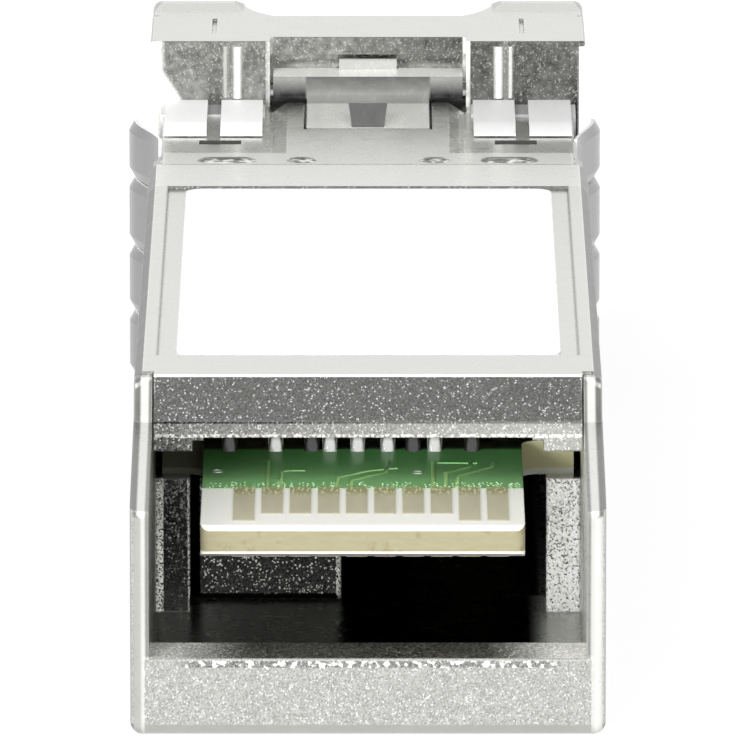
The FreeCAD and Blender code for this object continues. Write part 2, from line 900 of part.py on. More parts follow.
def optic_sleeve(x):
    front = barrel_front - (barrel_mouth - ferrule_bore)
    tube = rod_y(sleeve_back, front, x, optic_z, sleeve_radius)
    return tube.cut(rod_y(sleeve_back, barrel_front, x, optic_z, ferrule_bore))


def optic_flex(x):
    flat = box(x - flex_half, x + flex_half, flex_rear, flex_face, board_top, board_top + flex_thick)
    upright = box(x - flex_half, x + flex_half, flex_face - flex_thick, flex_face, flex_low, flex_high)
    return joined([flat, upright])


def optics_retainer():
    plate = mid_box(retainer_half, retainer_rear, can_rear, tub_floor, retainer_top)
    slots = []
    for x in (-optic_x, optic_x):
        slots.append(box(x - flex_half, x + flex_half, retainer_rear, can_rear, retainer_slot_low, far))
    return less(plate, slots)


def main():
    os.makedirs("parts", exist_ok=True)
    save("base_shell", base_shell())
    save("cover_shell", cover_shell())
    save("cover_screw", cover_screw())
    save("label", label())
    save("emi_collar", emi_collar())
    save("latch_lever", latch_lever())
    save("lever_pin", lever_pin())
    save("lever_spring", lever_spring())
    save("bail_handle", bail_handle())
    save("cam_shaft", cam_shaft())
    save("circuit_board", circuit_board())
    save("edge_contacts", edge_contacts())
    save("laser_driver_chip", chip(laser_driver))
    save("receiver_chip", chip(receiver_amp))
    save("controller_chip", chip(controller))
    bodies, ends = chip_parts()
    save("chip_capacitors", bodies)
    save("chip_terminals", ends)
    save("thermal_pad", thermal_pad())
    for name, x in (("transmitter", -optic_x), ("receiver", optic_x)):
        save(name + "_can", optic_can(x))
        save(name + "_barrel", optic_barrel(x))
        save(name + "_sleeve", optic_sleeve(x))
        save(name + "_flex", optic_flex(x))
    save("optics_retainer", optics_retainer())


main()
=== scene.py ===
import bpy
import bmesh
import json
import math
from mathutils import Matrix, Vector


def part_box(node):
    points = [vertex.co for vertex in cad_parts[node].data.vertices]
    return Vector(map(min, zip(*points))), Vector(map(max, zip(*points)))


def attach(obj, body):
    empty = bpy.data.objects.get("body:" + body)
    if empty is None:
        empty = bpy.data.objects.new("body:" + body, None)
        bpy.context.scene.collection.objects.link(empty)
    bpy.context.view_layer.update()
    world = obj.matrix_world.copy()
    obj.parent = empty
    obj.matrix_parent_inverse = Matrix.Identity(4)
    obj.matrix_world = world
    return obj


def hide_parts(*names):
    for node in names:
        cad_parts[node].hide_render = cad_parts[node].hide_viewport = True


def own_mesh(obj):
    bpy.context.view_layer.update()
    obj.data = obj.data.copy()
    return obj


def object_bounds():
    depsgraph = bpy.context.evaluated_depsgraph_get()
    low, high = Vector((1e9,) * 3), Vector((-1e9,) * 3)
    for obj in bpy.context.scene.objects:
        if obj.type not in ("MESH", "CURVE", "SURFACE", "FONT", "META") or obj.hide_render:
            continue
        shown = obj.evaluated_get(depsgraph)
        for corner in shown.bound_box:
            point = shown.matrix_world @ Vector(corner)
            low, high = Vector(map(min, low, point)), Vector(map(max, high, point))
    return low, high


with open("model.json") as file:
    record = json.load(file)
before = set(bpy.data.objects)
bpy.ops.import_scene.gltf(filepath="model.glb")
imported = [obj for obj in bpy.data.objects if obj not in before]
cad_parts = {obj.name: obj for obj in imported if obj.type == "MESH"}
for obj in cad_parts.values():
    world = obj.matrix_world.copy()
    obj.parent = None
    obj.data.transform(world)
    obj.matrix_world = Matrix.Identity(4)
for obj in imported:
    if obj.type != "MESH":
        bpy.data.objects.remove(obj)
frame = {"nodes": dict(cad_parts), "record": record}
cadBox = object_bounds()
nodes = frame["nodes"]
mm = 0.001
mergeGap = 0.001 * mm
rearY = cadBox[0].y  # the rear skirt; finishes count their millimetres from here
print("frame loaded:", len(nodes), "nodes")


class Wire:
    # a socket in a node tree; arithmetic on it adds Math nodes
    def __init__(self, tree, socket=None):
        self.tree = tree
        self.socket = socket

    def node(self, kind, sockets=None, settings=None, out=0):
        made = self.tree.nodes.new(kind)
        for key, value in (settings or {}).items():
            setattr(made, key, value)
        for key, value in (sockets or {}).items():
            if isinstance(value, Wire):
                self.tree.links.new(value.socket, made.inputs[key])
            else:
                made.inputs[key].default_value = value
        return Wire(self.tree, made.outputs[out] if made.outputs else None)

    def other(self, name):
        return Wire(self.tree, self.socket.node.outputs[name])

    def maths(self, operation, first, second=0.0):
        return self.node("ShaderNodeMath", {0: first, 1: second}, {"operation": operation})

    def vector(self, operation, sockets, out=0):
        return self.node("ShaderNodeVectorMath", sockets, {"operation": operation}, out)

    def __add__(self, other):
        return self.maths("ADD", self, other)

    def __radd__(self, other):
        return self.maths("ADD", other, self)

    def __sub__(self, other):
        return self.maths("SUBTRACT", self, other)

    def __rsub__(self, other):
        return self.maths("SUBTRACT", other, self)

    def __mul__(self, other):
        return self.maths("MULTIPLY", self, other)

    def __rmul__(self, other):
        return self.maths("MULTIPLY", other, self)

    def __pow__(self, other):
        return self.maths("POWER", self, other)

    def __abs__(self):
        return self.maths("ABSOLUTE", self)

    def most(self, other):
        return self.maths("MAXIMUM", self, other)

    def climb(self, low, high):
        # 0 up to low, 1 from high on
        sockets = {"Value": self, "From Min": low, "From Max": high}
        return self.node("ShaderNodeMapRange", sockets)

    def above(self, edge, blur=0.01):
        return self.climb(edge - blur, edge + blur)

    def below(self, edge, blur=0.01):
        return 1 - self.above(edge, blur)

    def within(self, low, high, blur=0.01):
        return self.above(low, blur) * self.below(high, blur)

    def swing(self, amount):
        # a noise about its middle, over this amount
        return (self - 0.5) * amount

    def tint(self, under, over):
        # the colour under where this is 0, the colour over where it is 1
        sockets = {0: self, 6: under, 7: over}
        return self.node("ShaderNodeMix", sockets, {"data_type": "RGBA"}, out=2)

    def axes(self):
        parts = self.node("ShaderNodeSeparateXYZ", {0: self})
        return parts, parts.other("Y"), parts.other("Z")


def grey(level):
    return (level, level, level, 1.0)


def tinged(start, shade, blue):
    # grey of this shade, a little warm where blue is under 1
    return start.node("ShaderNodeCombineColor", {0: shade, 1: shade, 2: shade * blue})


def newFinish(name):
    finish = bpy.data.materials.new(name)
    finish.use_nodes = True
    finish.node_tree.nodes.clear()
    return finish, Wire(finish.node_tree)


def closeFinish(start, sockets):
    shader = start.node("ShaderNodeBsdfPrincipled", sockets)
    start.node("ShaderNodeOutputMaterial", {"Surface": shader})


def partPoint(start):
    # place on the part in millimetres, y counted from the rear skirt
    place = start.node("ShaderNodeTexCoord", out="Object")
    toMm = (1 / mm, 1 / mm, 1 / mm)
    return start.vector("MULTIPLY_ADD", {0: place, 1: toMm, 2: (0.0, -rearY / mm, 0.0)})


def faceAxes(start):
    return start.node("ShaderNodeTexCoord", out="Normal").axes()


def noise(start, point, perMm, detail=2.0):
    sockets = {"Vector": point, "Scale": perMm, "Detail": detail}
    return start.node("ShaderNodeTexNoise", sockets)


def stretched(start, point, stretch):
    return start.vector("MULTIPLY", {0: point, 1: stretch})


def cells(start, point, perMm):
    # flat-sided grains: the random colour of each
    return start.node("ShaderNodeTexVoronoi", {"Vector": point, "Scale": perMm}, out="Color")


def bumped(start, height, recipe):
    sockets = {"Strength": recipe["bump"], "Distance": recipe["bumpHigh"] * mm, "Height": height}
    return start.node("ShaderNodeBump", sockets)


def roundedEdge(start, radius):
    return start.node("ShaderNodeBevel", {"Radius": radius * mm}, {"samples": 4})


def edgeShare(start, edge):
    # 0 on flat faces, rising towards 1 over a rounded edge
    true = start.node("ShaderNodeNewGeometry", out="Normal")
    return 1 - start.vector("DOT_PRODUCT", {0: edge, 1: true}, out="Value")


def tilted(start, edge, colour, amount):
    # the edge normal, tipped by each grain's random colour
    centred = start.vector("SUBTRACT", {0: colour, 1: (0.5, 0.5, 0.5)})
    tip = start.vector("SCALE", {0: centred, "Scale": amount})
    return start.vector("ADD", {0: edge, 1: tip})


def leaned(start, normal, across, up):
    # the normal leaned across and up
    lean = start.node("ShaderNodeCombineXYZ", {0: across, 2: up})
    added = start.vector("ADD", {0: normal, 1: lean})
    return start.vector("NORMALIZE", {0: added})


def blobs(x, z, perMm):
    flat = x.node("ShaderNodeCombineXYZ", {0: x, 2: z})
    return noise(x, flat, perMm, 1.0)


def spots(x, z, recipe):
    return blobs(x, z, recipe["perMm"]).above(*recipe["share"])


# edges between faces that count as turned a way and faces that don't: level and blur
turns = {"rearward": (0.5, 0.1), "upward": (0.6, 0.1)}


def faceMasks(x, facing, sideTurn):
    across, along, up = facing
    left = x.below(0.0)
    return {
        "rearward": (0 - along).above(*turns["rearward"]),
        "upward": up.above(*turns["upward"]),
        "side": abs(across).above(*sideTurn),
        "left": left,
        "right": 1 - left,
    }


def band(value, low, high, blur=0.01):
    # 1 between low and high; None leaves an end open
    if low is None:
        return value.below(high, blur)
    if high is None:
        return value.above(low, blur)
    return value.within(low, high, blur)


def zoneMasks(place, masks, zones):
    # adds a mask for each zone with a place: the masks that it lies on, cut to its millimetres
    x, y, z = place
    axes = {"x": x, "y": y, "z": z, "wide": abs(x)}
    for name, zone in zones.items():
        parts = [masks[other] for other in zone.get("on", [])]
        parts += [band(axes[axis], *zone[axis]) for axis in axes if axis in zone]
        if parts:
            masks[name] = math.prod(parts[1:], start=parts[0])


def summed(masks, shares, value):
    # the value, with each mask's share added
    for name, share in shares.items():
        value = value + masks[name] * share
    return value


def marked(masks, zones, recipe, tone, grained):
    # all zones together: shares of tone are added, then some zones have a tone of their own
    def total(key, value):
        shares = {name: zone[key] for name, zone in zones.items() if key in zone}
        return summed(masks, shares, value)

    plain = total("tone", tone + grained * (recipe["grainTone"] - tone))
    tone = plain
    for name, zone in zones.items():
        if "ownTone" in zone:
            own = summed(masks, zone.get("parts", {}), zone["ownTone"])
            tone = tone + masks[name] * (own - plain)
    return {
        "grained": grained,
        "tone": total("lateTone", tone),
        "calm": total("calm", 1.0),
        "dull": total("dull", 0.0),
        "flecks": total("flecks", 0.0),
        "fleckLean": total("fleckLean", recipe["fleckLean"]),
        "leanAcross": total("leanAcross", 0.0),
        "leanUp": total("leanUp", 0.0),
    }


castings = {
    "tone": 0.76, "sideTone": 0.42, "grainTone": 0.66, "darkest": 0.005, "blue": 0.955,
    "roughness": 0.28, "grainRoughness": 0.24, "edgeRadius": 0.09,
    "grainPerMm": 23.0, "tip": 1.25, "tipPower": 2.0, "spark": 0.5,
    "wear": 0.2, "wearFrom": (0.05, 0.04),
    "softPerMm": 1.4, "softTone": 0.07, "softRoughness": 0.12,
    # flecks are bright grains: a painted glint in the base colour, with a leaned normal
    "fleckShare": (0.91, 0.015), "fleckTone": 0.8, "fleckLean": 0.15,
}

# sizes of the marks; the glare, shoulder line, beads, edge spots and glints among them are painted
# highlights and glints
base = {
    "side": (0.4, 0.25), "flank": (0.75, 0.1), "slope": (0.15, 0.1), "grainLow": (0.33, 0.04),
    "wallInner": 6.13, "wallFront": 8.86, "wallBlur": 0.02, "lipHigh": 2.23, "lipStep": 0.13,
    "lowTop": (6.3, 0.05), "lineStart": 6.24, "lineEnd": 6.47, "lineStep": 0.11, "lineBlur": 0.03,
    "shoulderRear": 7.3, "shoulderSlope": 0.5, "shoulderBand": (11.46, 11.57, 0.02),
    "glareHigh": 9.4, "glareSlope": 0.6, "glareFrom": (6.42, 0.12),
    "mottlePerMm": 3.5,
    "beads": {"perMm": 5.0, "share": (0.57, 0.04)},
    "edgeGlintSpots": {"perMm": 15.0, "share": (0.44, 0.06)},
    "glints": {"perMm": 2.6, "share": (0.52, 0.05)},
}

# where each mark lies and what it does to the plating; many of the tones are painted light, shade,
# highlights or glints, named at each; marks with no place are worked out in code
baseZones = {
    "rearLip": {"on": ["rearward"], "y": (None, 0.5), "z": (None, 2.3), "wide": (None, 6.3, 0.03),
                "tone": -0.08, "calm": -0.3},
    "lipFace": {"on": ["rearLip"], "z": (0.36, None, 0.02), "flecks": 0.45},
    # painted highlight: the lip's top edge is lighter, and a row of bright beads runs just below it
    "lipEdge": {"on": ["rearLip"], "z": (2.17, None, 0.015), "lateTone": 0.1},
    "lipBead": {"on": ["rearLip"], "z": (1.98, 2.17, 0.015), "wide": (None, 5.2, 0.3),
                "ownTone": 0.35, "parts": {"bead": 0.6}},
    "beaded": {"dull": 0.6},
    # painted light and shade: the lip's top is darker in the middle, lighter towards its ends and
    # lighter still on the right
    "lipTop": {"on": ["upward"], "y": (None, 1.95), "z": (2.1, 2.4), "tone": -0.36, "dull": 0.1},
    "lipTopEnd": {"on": ["lipTop"], "wide": (4.3, None, 1.0), "tone": 0.36, "dull": 0.75},
    "lipTopRight": {"on": ["lipTopEnd"], "x": (0.0, None, 2.0), "tone": 0.18},
    "footEdge": {"y": (None, 0.4), "z": (None, 0.33, 0.03), "tone": -0.2},
    # painted highlight: the line is a bright band down the wall end's rounded edge; the outer strip
    # is lighter low down and more so on the right, as painted light
    "lowLine": {"on": ["low", "line"]},
    "lowOuter": {"on": ["low", "outer"]},
    "lowOuterRight": {"on": ["lowOuter", "right"]},
    "wallEnd": {"ownTone": 0.23, "dull": 0.75, "parts": {
        "low": -0.03, "line": 0.48, "lowLine": -0.14,
        "outer": -0.05, "lowOuter": 0.2, "lowOuterRight": 0.3,
    }},
    # painted highlight: a white diagonal line across the wall end's top
    "shoulder": {"ownTone": 1.0},
    # painted shade: the tub's inside beyond the board is darkened
    "inside": {"y": (15.7, 37.5), "z": (None, 8.0), "wide": (None, 6.2), "tone": -0.6},
    # painted light: the tub's inner walls are lighter, the right one much more
    "innerWall": {"on": ["side"], "y": (0.1, 13.6), "z": (0.4, 7.3), "wide": (6.05, 6.2),
                  "tone": 0.12, "dull": 0.3},
    "innerWallRight": {"on": ["innerWall", "right"], "tone": 0.4, "dull": 0.4},
    # painted shade on the tub's floor, darkest right of the pedestal, and painted light in its
    # right corner
    "tubFloor": {"on": ["upward"], "y": (None, 37.0), "z": (None, 0.45),
                 "tone": -0.36, "dull": 0.12},
    "floorRight": {"on": ["tubFloor"], "x": (-0.8, 4.8, 0.25), "tone": -0.5, "dull": -0.12},
    "floorCorner": {"on": ["tubFloor"], "x": (4.8, None, 0.25), "tone": 0.5, "dull": 0.4},
    # painted shade: the pedestal's face is dark and its foot darker, a painted shadow under it
    "pedestal": {"on": ["rearward"], "y": (15.2, 15.4),
                 "tone": -0.54, "calm": -0.65, "flecks": 1.0},
    "pedestalEdge": {"on": ["pedestal"], "x": (-0.93, None, 0.015), "leanAcross": 0.35},
    "pedestalFoot": {"on": ["pedestal"], "z": (None, 0.45, 0.02), "tone": -0.5, "flecks": -1.0},
    # painted shade on the left post, painted light on the right one and a painted highlight down
    # its rim
    "leftPost": {"on": ["rearward", "left"], "y": (13.5, 13.7),
                 "tone": -0.54, "calm": -0.72, "flecks": 0.12},
    "postFace": {"on": ["leftPost"], "x": (-5.92, -5.21, 0.02)},
    "postEdge": {"leanAcross": 0.25},
    "rightPost": {"on": ["rearward", "right"], "y": (13.5, 13.7),
                  "tone": 0.36, "calm": -0.4, "leanAcross": -0.05, "leanUp": 0.22},
    "postRim": {"on": ["rightPost"], "x": (5.86, 6.02, 0.03), "tone": 0.7},
    # painted glints: bright spots along the pedestal's and left post's edges
    "rubAndGlint": {"tone": 0.75, "calm": 0.3, "leanUp": 0.2},
    "noseWall": {"on": ["rearward"], "y": (47.99, 49.6),
                 "tone": -0.26, "calm": -0.84, "flecks": 0.22},
    # painted shade: the nose wall is darker on the right
    "noseRight": {"on": ["noseWall"], "x": (0.5, None, 2.0), "tone": -0.17},
    "mottle": {"tone": 0.6},
    "mottleRight": {"tone": -0.3},
    # painted highlight: a white glare on the nose wall's left end
    "glare": {"ownTone": 1.0, "dull": 0.8},
    # painted light: the nose wall is lightened where the cross bar shades it
    "behindBar": {"on": ["noseWall"], "z": (None, 9.35, 0.1), "wide": (None, 3.1),
                  "tone": 0.25, "dull": 0.7},
    # painted highlight: a bright strip down the nose recess's inner corners, brighter on the right
    "innerEdge": {"on": ["noseWall"], "wide": (2.95, 3.18, 0.03),
                  "ownTone": 0.5, "parts": {"right": 0.45}, "dull": 0.7},
    # painted shade: a dark line down the groove beside the rib
    "groove": {"on": ["noseWall"], "wide": (4.22, 4.37, 0.02), "ownTone": 0.22, "dull": 0.6},
    # painted highlight on the ribs, the outer ones lighter on the right
    "rib": {"y": (47.7, 47.985), "z": (8.45, None), "tone": 0.24, "dull": 0.6},
    "outerRib": {"on": ["rib"], "wide": (4.37, None, 0.02),
                 "ownTone": 0.45, "parts": {"right": 0.2}},
    # painted shade in the collar's recess, with a painted highlight along its rim that is weaker on
    # the left
    "recessFloor": {"on": ["upward"], "y": (39.5, 48.0), "z": (8.05, 8.3), "tone": -0.2},
    "recessRim": {"on": ["recessFloor"], "wide": (2.48, 2.97, 0.04), "tone": 0.3, "dull": 0.5},
    "recessRimLeft": {"on": ["recessRim", "left"], "wide": (2.6, None, 0.03),
                      "tone": -0.15, "dull": -0.25},
    # painted shadow: the slot under the fingers' tips is darkened
    "tipSlot": {"on": ["recessFloor"], "z": (None, 8.15), "tone": -0.34},
    "slotWall": {"on": ["rearward"], "y": (42.8, 43.0), "z": (8.0, 8.25),
                 "tone": -0.5, "calm": -1.0},
    # painted shade in the pits, with painted glints in some of them
    "pit": {"on": ["upward"], "y": (37.9, 39.1), "z": (8.43, 8.47),
            "ownTone": 0.12, "parts": {"glint": 0.85}, "dull": 0.6},
    "earRamp": {"on": ["sloped"], "y": (52.6, 53.5), "z": (10.27, None),
                "tone": 0.02, "dull": 0.5},
}


def baseMarks(place, facing, recipe):
    # where the tub and nose are grained or dull, and their tone, much of it painted light, shade,
    # highlights and glints
    x, y, z = place
    across, along = facing[:2]
    wide = abs(x)
    masks = faceMasks(x, facing, base["side"])
    masks["sloped"] = (0 - along).above(*base["slope"])
    step = z.below(base["lipHigh"], base["wallBlur"]) * base["lipStep"]
    wallEnd = (wide - step).above(base["wallInner"], base["wallBlur"]) * y.below(base["wallFront"])
    masks["wallEnd"] = wallEnd * (1 - abs(across).above(*base["flank"]))
    masks["low"] = z.below(*base["lowTop"])
    lineEnd = base["lineEnd"] - masks["low"] * base["lineStep"]
    masks["outer"] = (wide - lineEnd).above(0.0, base["lineBlur"])
    masks["line"] = wide.above(base["lineStart"], base["lineBlur"]) * (1 - masks["outer"])
    zoneMasks(place, masks, baseZones)

    # the shoulder: a painted highlight line
    shoulder = (z + wide * base["shoulderSlope"]).within(*base["shoulderBand"])
    masks["shoulder"] = masks["wallEnd"] * y.above(base["shoulderRear"]) * shoulder
    # the beads: painted highlight spots along the lip's top edge
    masks["bead"] = spots(x, z, base["beads"])
    masks["beaded"] = masks["lipBead"] * masks["bead"]
    masks["postEdge"] = masks["leftPost"] - masks["postFace"]
    # painted glints along the pedestal's and left post's edges
    edgeGlintSpots = spots(x, z, base["edgeGlintSpots"])
    masks["rubAndGlint"] = masks["pedestalEdge"].most(masks["postEdge"]) * edgeGlintSpots
    # the glare: a painted highlight on the nose wall's left end
    glare = wide + (base["glareHigh"] - z).most(0.0) * base["glareSlope"]
    masks["glare"] = masks["noseWall"] * masks["left"] * glare.above(*base["glareFrom"])
    masks["mottle"] = masks["noseWall"] * blobs(x, z, base["mottlePerMm"]).swing(1.0)
    masks["mottleRight"] = masks["mottle"] * masks["right"]
    # the pits' painted glints
    masks["glint"] = spots(x, y, base["glints"])

    # painted shade: faces turned to the sides take the darker side tone
    tone = recipe["tone"] + masks["side"] * (recipe["sideTone"] - recipe["tone"])
    grained = masks["rearward"] * (1 - masks["wallEnd"]) * (1 - masks["rib"])
    grained = (grained * z.above(*base["grainLow"])).most(masks["lipTop"])
    return marked(masks, baseZones, recipe, tone, grained)


cover = {
    "side": (0.4, 0.2), "sideTone": 0.115, "leftShade": 0.04, "slope": (0.04, 0.74, 0.03),
    "footSpots": {"perMm": 9.0, "share": (0.48, 0.06)},
}

coverZones = {
    "lip": {"on": ["rearward"], "y": (None, 7.62), "z": (6.4, 7.33),
            "tone": -0.14, "calm": -0.55, "dull": 0.1, "flecks": 0.4},
    # painted shade: the cover's lip darkens towards the left, most at its lower left end
    "lipLeft": {"on": ["lip"], "x": (None, -0.5, 5.5), "tone": -0.31},
    "lipEndLeft": {"on": ["lip", "left"], "z": (None, 6.86), "tone": -0.08},
    # painted highlight: light spots along the lip's foot
    "lipFoot": {"on": ["lip"], "z": (6.86, 6.96, 0.02)},
    "lipFleck": {"tone": 0.45, "dull": 0.3},
    "lipHead": {"on": ["lip"], "z": (7.27, None, 0.02), "tone": -0.25},
    "rear": {"on": ["rearward"], "y": (None, 8.5)},
    "chamfer": {"tone": 0.10, "flecks": 0.72, "fleckLean": -0.62},
    # painted highlight: the deck's rear edge is set white
    "rim": {"on": ["sloped"], "y": (None, 8.6), "z": (8.41, None, 0.02),
            "ownTone": 1.0, "dull": 0.8},
    # painted shade: a dark line along the groove near the deck's sides
    "groove": {"on": ["upward"], "y": (11.0, 34.7), "wide": (6.0, 6.08, 0.025), "tone": -0.34},
    "recessEnd": {"on": ["rearward"], "y": (34.4, 34.8),
                  "tone": -0.25, "calm": -0.5, "flecks": 1.0},
    "frontDeck": {"on": ["upward"], "y": (34.6, None), "tone": 0.08},
}


def coverMarks(place, facing, recipe):
    # the same for the cover: its grained chamfer and lip, the painted highlight along its rear rim,
    # painted shade on its sides and lip, and the label's recess
    x, z = place[0], place[2]
    masks = faceMasks(x, facing, cover["side"])
    masks["sloped"] = (0 - facing[1]).within(*cover["slope"])
    zoneMasks(place, masks, coverZones)
    # light spots along the lip's foot, a painted highlight
    masks["lipFleck"] = masks["lipFoot"] * spots(x, z, cover["footSpots"])
    masks["chamfer"] = masks["rear"] * (1 - masks["lip"])
    # painted shade: the side bands take a dark side tone, darker still on the left
    sideTone = cover["sideTone"] - masks["left"] * cover["leftShade"]
    tone = recipe["tone"] + masks["side"] * (sideTone - recipe["tone"])
    return marked(masks, coverZones, recipe, tone, masks["rearward"] * (1 - masks["rim"]))


bail = {
    "grainFace": (0.6, 0.1), "grained": 0.35, "grainShade": 0.2, "grainDull": 0.2,
    "side": (0.4, 0.25), "sideShade": 0.15,
}


def bailMarks(place, facing, recipe):
    across, along = facing[:2]
    grained = abs(along).above(*bail["grainFace"]) * bail["grained"]
    side = abs(across).above(*bail["side"])
    plain = dict.fromkeys(["flecks", "fleckLean", "leanAcross", "leanUp"], 0.0)
    return plain | {
        "grained": grained,
        "tone": recipe["tone"] - grained * bail["grainShade"] - side * bail["sideShade"],
        "calm": 1 - grained,
        "dull": grained * bail["grainDull"],
    }


def castFinish(name, recipe, marks):
    # nickel over a grained casting: every grain is a small mirror of its own, and its sparkle is
    # painted into the base colour as well
    finish, start = newFinish(name)
    point = partPoint(start)
    mark = marks(point.axes(), faceAxes(start), recipe)
    colour = cells(start, point, recipe["grainPerMm"])
    level = start.node("ShaderNodeSeparateColor", {0: colour}, out="Blue")
    edge = roundedEdge(start, recipe["edgeRadius"])
    soft = noise(start, point, recipe["softPerMm"])
    worn = edgeShare(start, edge).above(*recipe["wearFrom"]) * recipe["wear"]
    grain = mark["grained"] * mark["calm"]
    fleck = level.above(*recipe["fleckShare"]) * mark["flecks"]
    # painted glints: each grain's brightness and the flecks go into the base colour; the marks'
    # tone brings in the zones' painted light and shade
    sparks = grain * level.swing(recipe["spark"]) + fleck * recipe["fleckTone"]
    shade = mark["tone"] + soft.swing(recipe["softTone"]) + worn + sparks
    tip = recipe["tip"] * level ** recipe["tipPower"]
    tipped = tilted(start, edge, colour, grain * (1 - fleck) * tip)
    leanUp = fleck * mark["fleckLean"] + mark["leanUp"]
    finer = mark["grained"] * (recipe["grainRoughness"] - recipe["roughness"])
    closeFinish(start, {
        "Base Color": tinged(start, shade.most(recipe["darkest"]), recipe["blue"]),
        "Metallic": 1 - mark["dull"],
        "Roughness": recipe["roughness"] + soft.swing(recipe["softRoughness"]) + finer,
        "Normal": leaned(start, tipped, mark["leanAcross"], leanUp),
    })
    return finish


steels = {
    "pin": {"tone": (0.62, 0.62, 0.63), "roughness": 0.2, "streak": 9.0, "edgeRadius": 0.03},
    "screw": {"tone": (0.5, 0.5, 0.51), "roughness": 0.3, "streak": 7.0, "edgeRadius": 0.04},
    "can": {"tone": (0.72, 0.58, 0.34), "roughness": 0.28, "streak": 4.0, "edgeRadius": 0.05},
    "barrel": {"tone": (0.68, 0.68, 0.69), "roughness": 0.24, "streak": 8.0, "edgeRadius": 0.05},
}

drawing = {
    "stretch": (1.0, 0.12, 1.0), "detail": 3.0, "pale": 1.08, "dark": 0.88, "softPerMm": 0.9,
    "streakRoughness": 0.16, "softRoughness": 0.1,
}


def streaks(start, point, perMm):
    return noise(start, stretched(start, point, drawing["stretch"]), perMm, drawing["detail"])


def scaled(colour, share):
    return tuple(part * share for part in colour) + (1.0,)


def steelFinish(name, recipe):
    # rolled or turned steel, with fine streaks along the part
    finish, start = newFinish(name)
    point = partPoint(start)
    streak = streaks(start, point, recipe["streak"])
    soft = noise(start, point, drawing["softPerMm"])
    dark = scaled(recipe["tone"], drawing["dark"])
    pale = scaled(recipe["tone"], drawing["pale"])
    rough = recipe["roughness"] + streak.swing(drawing["streakRoughness"])
    closeFinish(start, {
        "Base Color": streak.tint(dark, pale),
        "Metallic": 1.0,
        "Roughness": rough + soft.swing(drawing["softRoughness"]),
        "Normal": roundedEdge(start, recipe["edgeRadius"]),
    })
    return finish


leverSheet = {
    "tone": 0.95, "blue": 0.96, "roughness": 0.26, "streak": 3.0, "streakTone": 0.1,
    "edgeRadius": 0.05, "flat": (0.9, 0.05), "flatDull": 0.5,
    "boss": {"half": 0.62, "length": (43.4, 45.05), "slope": (0.15, 0.6, 0.05), "tone": 0.19},
    "bar": {"length": (46.9, 47.6), "face": (0.2, 0.15), "fall": (8.5, 9.25), "dull": 0.85},
    "barTop": {"face": (0.8, 0.1), "low": 9.2, "tone": 1.0},
    "footTone": 0.27, "rearTone": 0.11,
    "end": {"from": (1.93, 0.02), "fall": (8.72, 9.2), "tone": 0.02},
    "tab": {"face": (0.6, 0.1), "low": 9.31, "tone": 0.41},
}


def leverFinish(name, recipe):
    # bright on its flats; painted shade on the boss's ramp and on the cross bar's rear face and
    # ends, a painted highlight on the bar's top
    finish, start = newFinish(name)
    point = partPoint(start)
    x, y, z = point.axes()
    along, up = faceAxes(start)[1:]
    rearward = 0 - along
    streak = streaks(start, point, recipe["streak"])
    bossPart, barPart, topPart = recipe["boss"], recipe["bar"], recipe["barTop"]
    endPart, tabPart = recipe["end"], recipe["tab"]
    # painted shade: the boss's ramp is darkened; the cross bar's rear face is dark, darkest at its
    # top, its ends near black at the bottom, and the tab's rear face darker; the bar's top is a
    # painted highlight
    ramp = abs(x).below(bossPart["half"]) * y.within(*bossPart["length"])
    ramp = ramp * rearward.within(*bossPart["slope"])
    bar = y.within(*barPart["length"]) * rearward.above(*barPart["face"])
    end = bar * abs(x).above(*endPart["from"])
    tab = rearward.above(*tabPart["face"]) * z.above(tabPart["low"])
    barTop = up.above(*topPart["face"]) * z.above(topPart["low"])
    barFall = z.climb(*barPart["fall"]) * (recipe["footTone"] - recipe["rearTone"])
    endRise = z.climb(*endPart["fall"]) * (recipe["footTone"] - endPart["tone"])
    tone = recipe["tone"] + bar * (recipe["footTone"] - barFall - recipe["tone"])
    ends = end * (endPart["tone"] + endRise - tone)
    tone = tone + ends + barTop * (topPart["tone"] - tone) + tab * (tabPart["tone"] - tone)
    tone = tone - ramp * (recipe["tone"] - bossPart["tone"]) + streak.swing(recipe["streakTone"])
    dull = bar.most(tab).most(barTop) * barPart["dull"]
    closeFinish(start, {
        "Base Color": tinged(start, tone, recipe["blue"]),
        "Metallic": 1 - dull.most(up.above(*recipe["flat"]) * recipe["flatDull"]),
        "Roughness": recipe["roughness"] + streak.swing(drawing["streakRoughness"]),
        "Normal": roundedEdge(start, recipe["edgeRadius"]),
    })
    return finish


springSheet = {
    "faceTone": 1.0, "sideTone": 0.30, "innerTone": 0.85, "rightShade": 0.18, "blue": 0.995,
    "roughness": 0.24, "streak": 6.0, "streakTone": 0.06, "dull": 0.95, "dullRoughness": 0.3,
    "edgeRadius": 0.03, "flank": (0.5, 0.25), "inward": (0.4, 0.2), "rearward": (0.6, 0.1),
    "upward": (0.7, 0.1), "bandRear": 46.4, "bandAcross": (4.56, 4.98), "bandTone": 0.4,
}


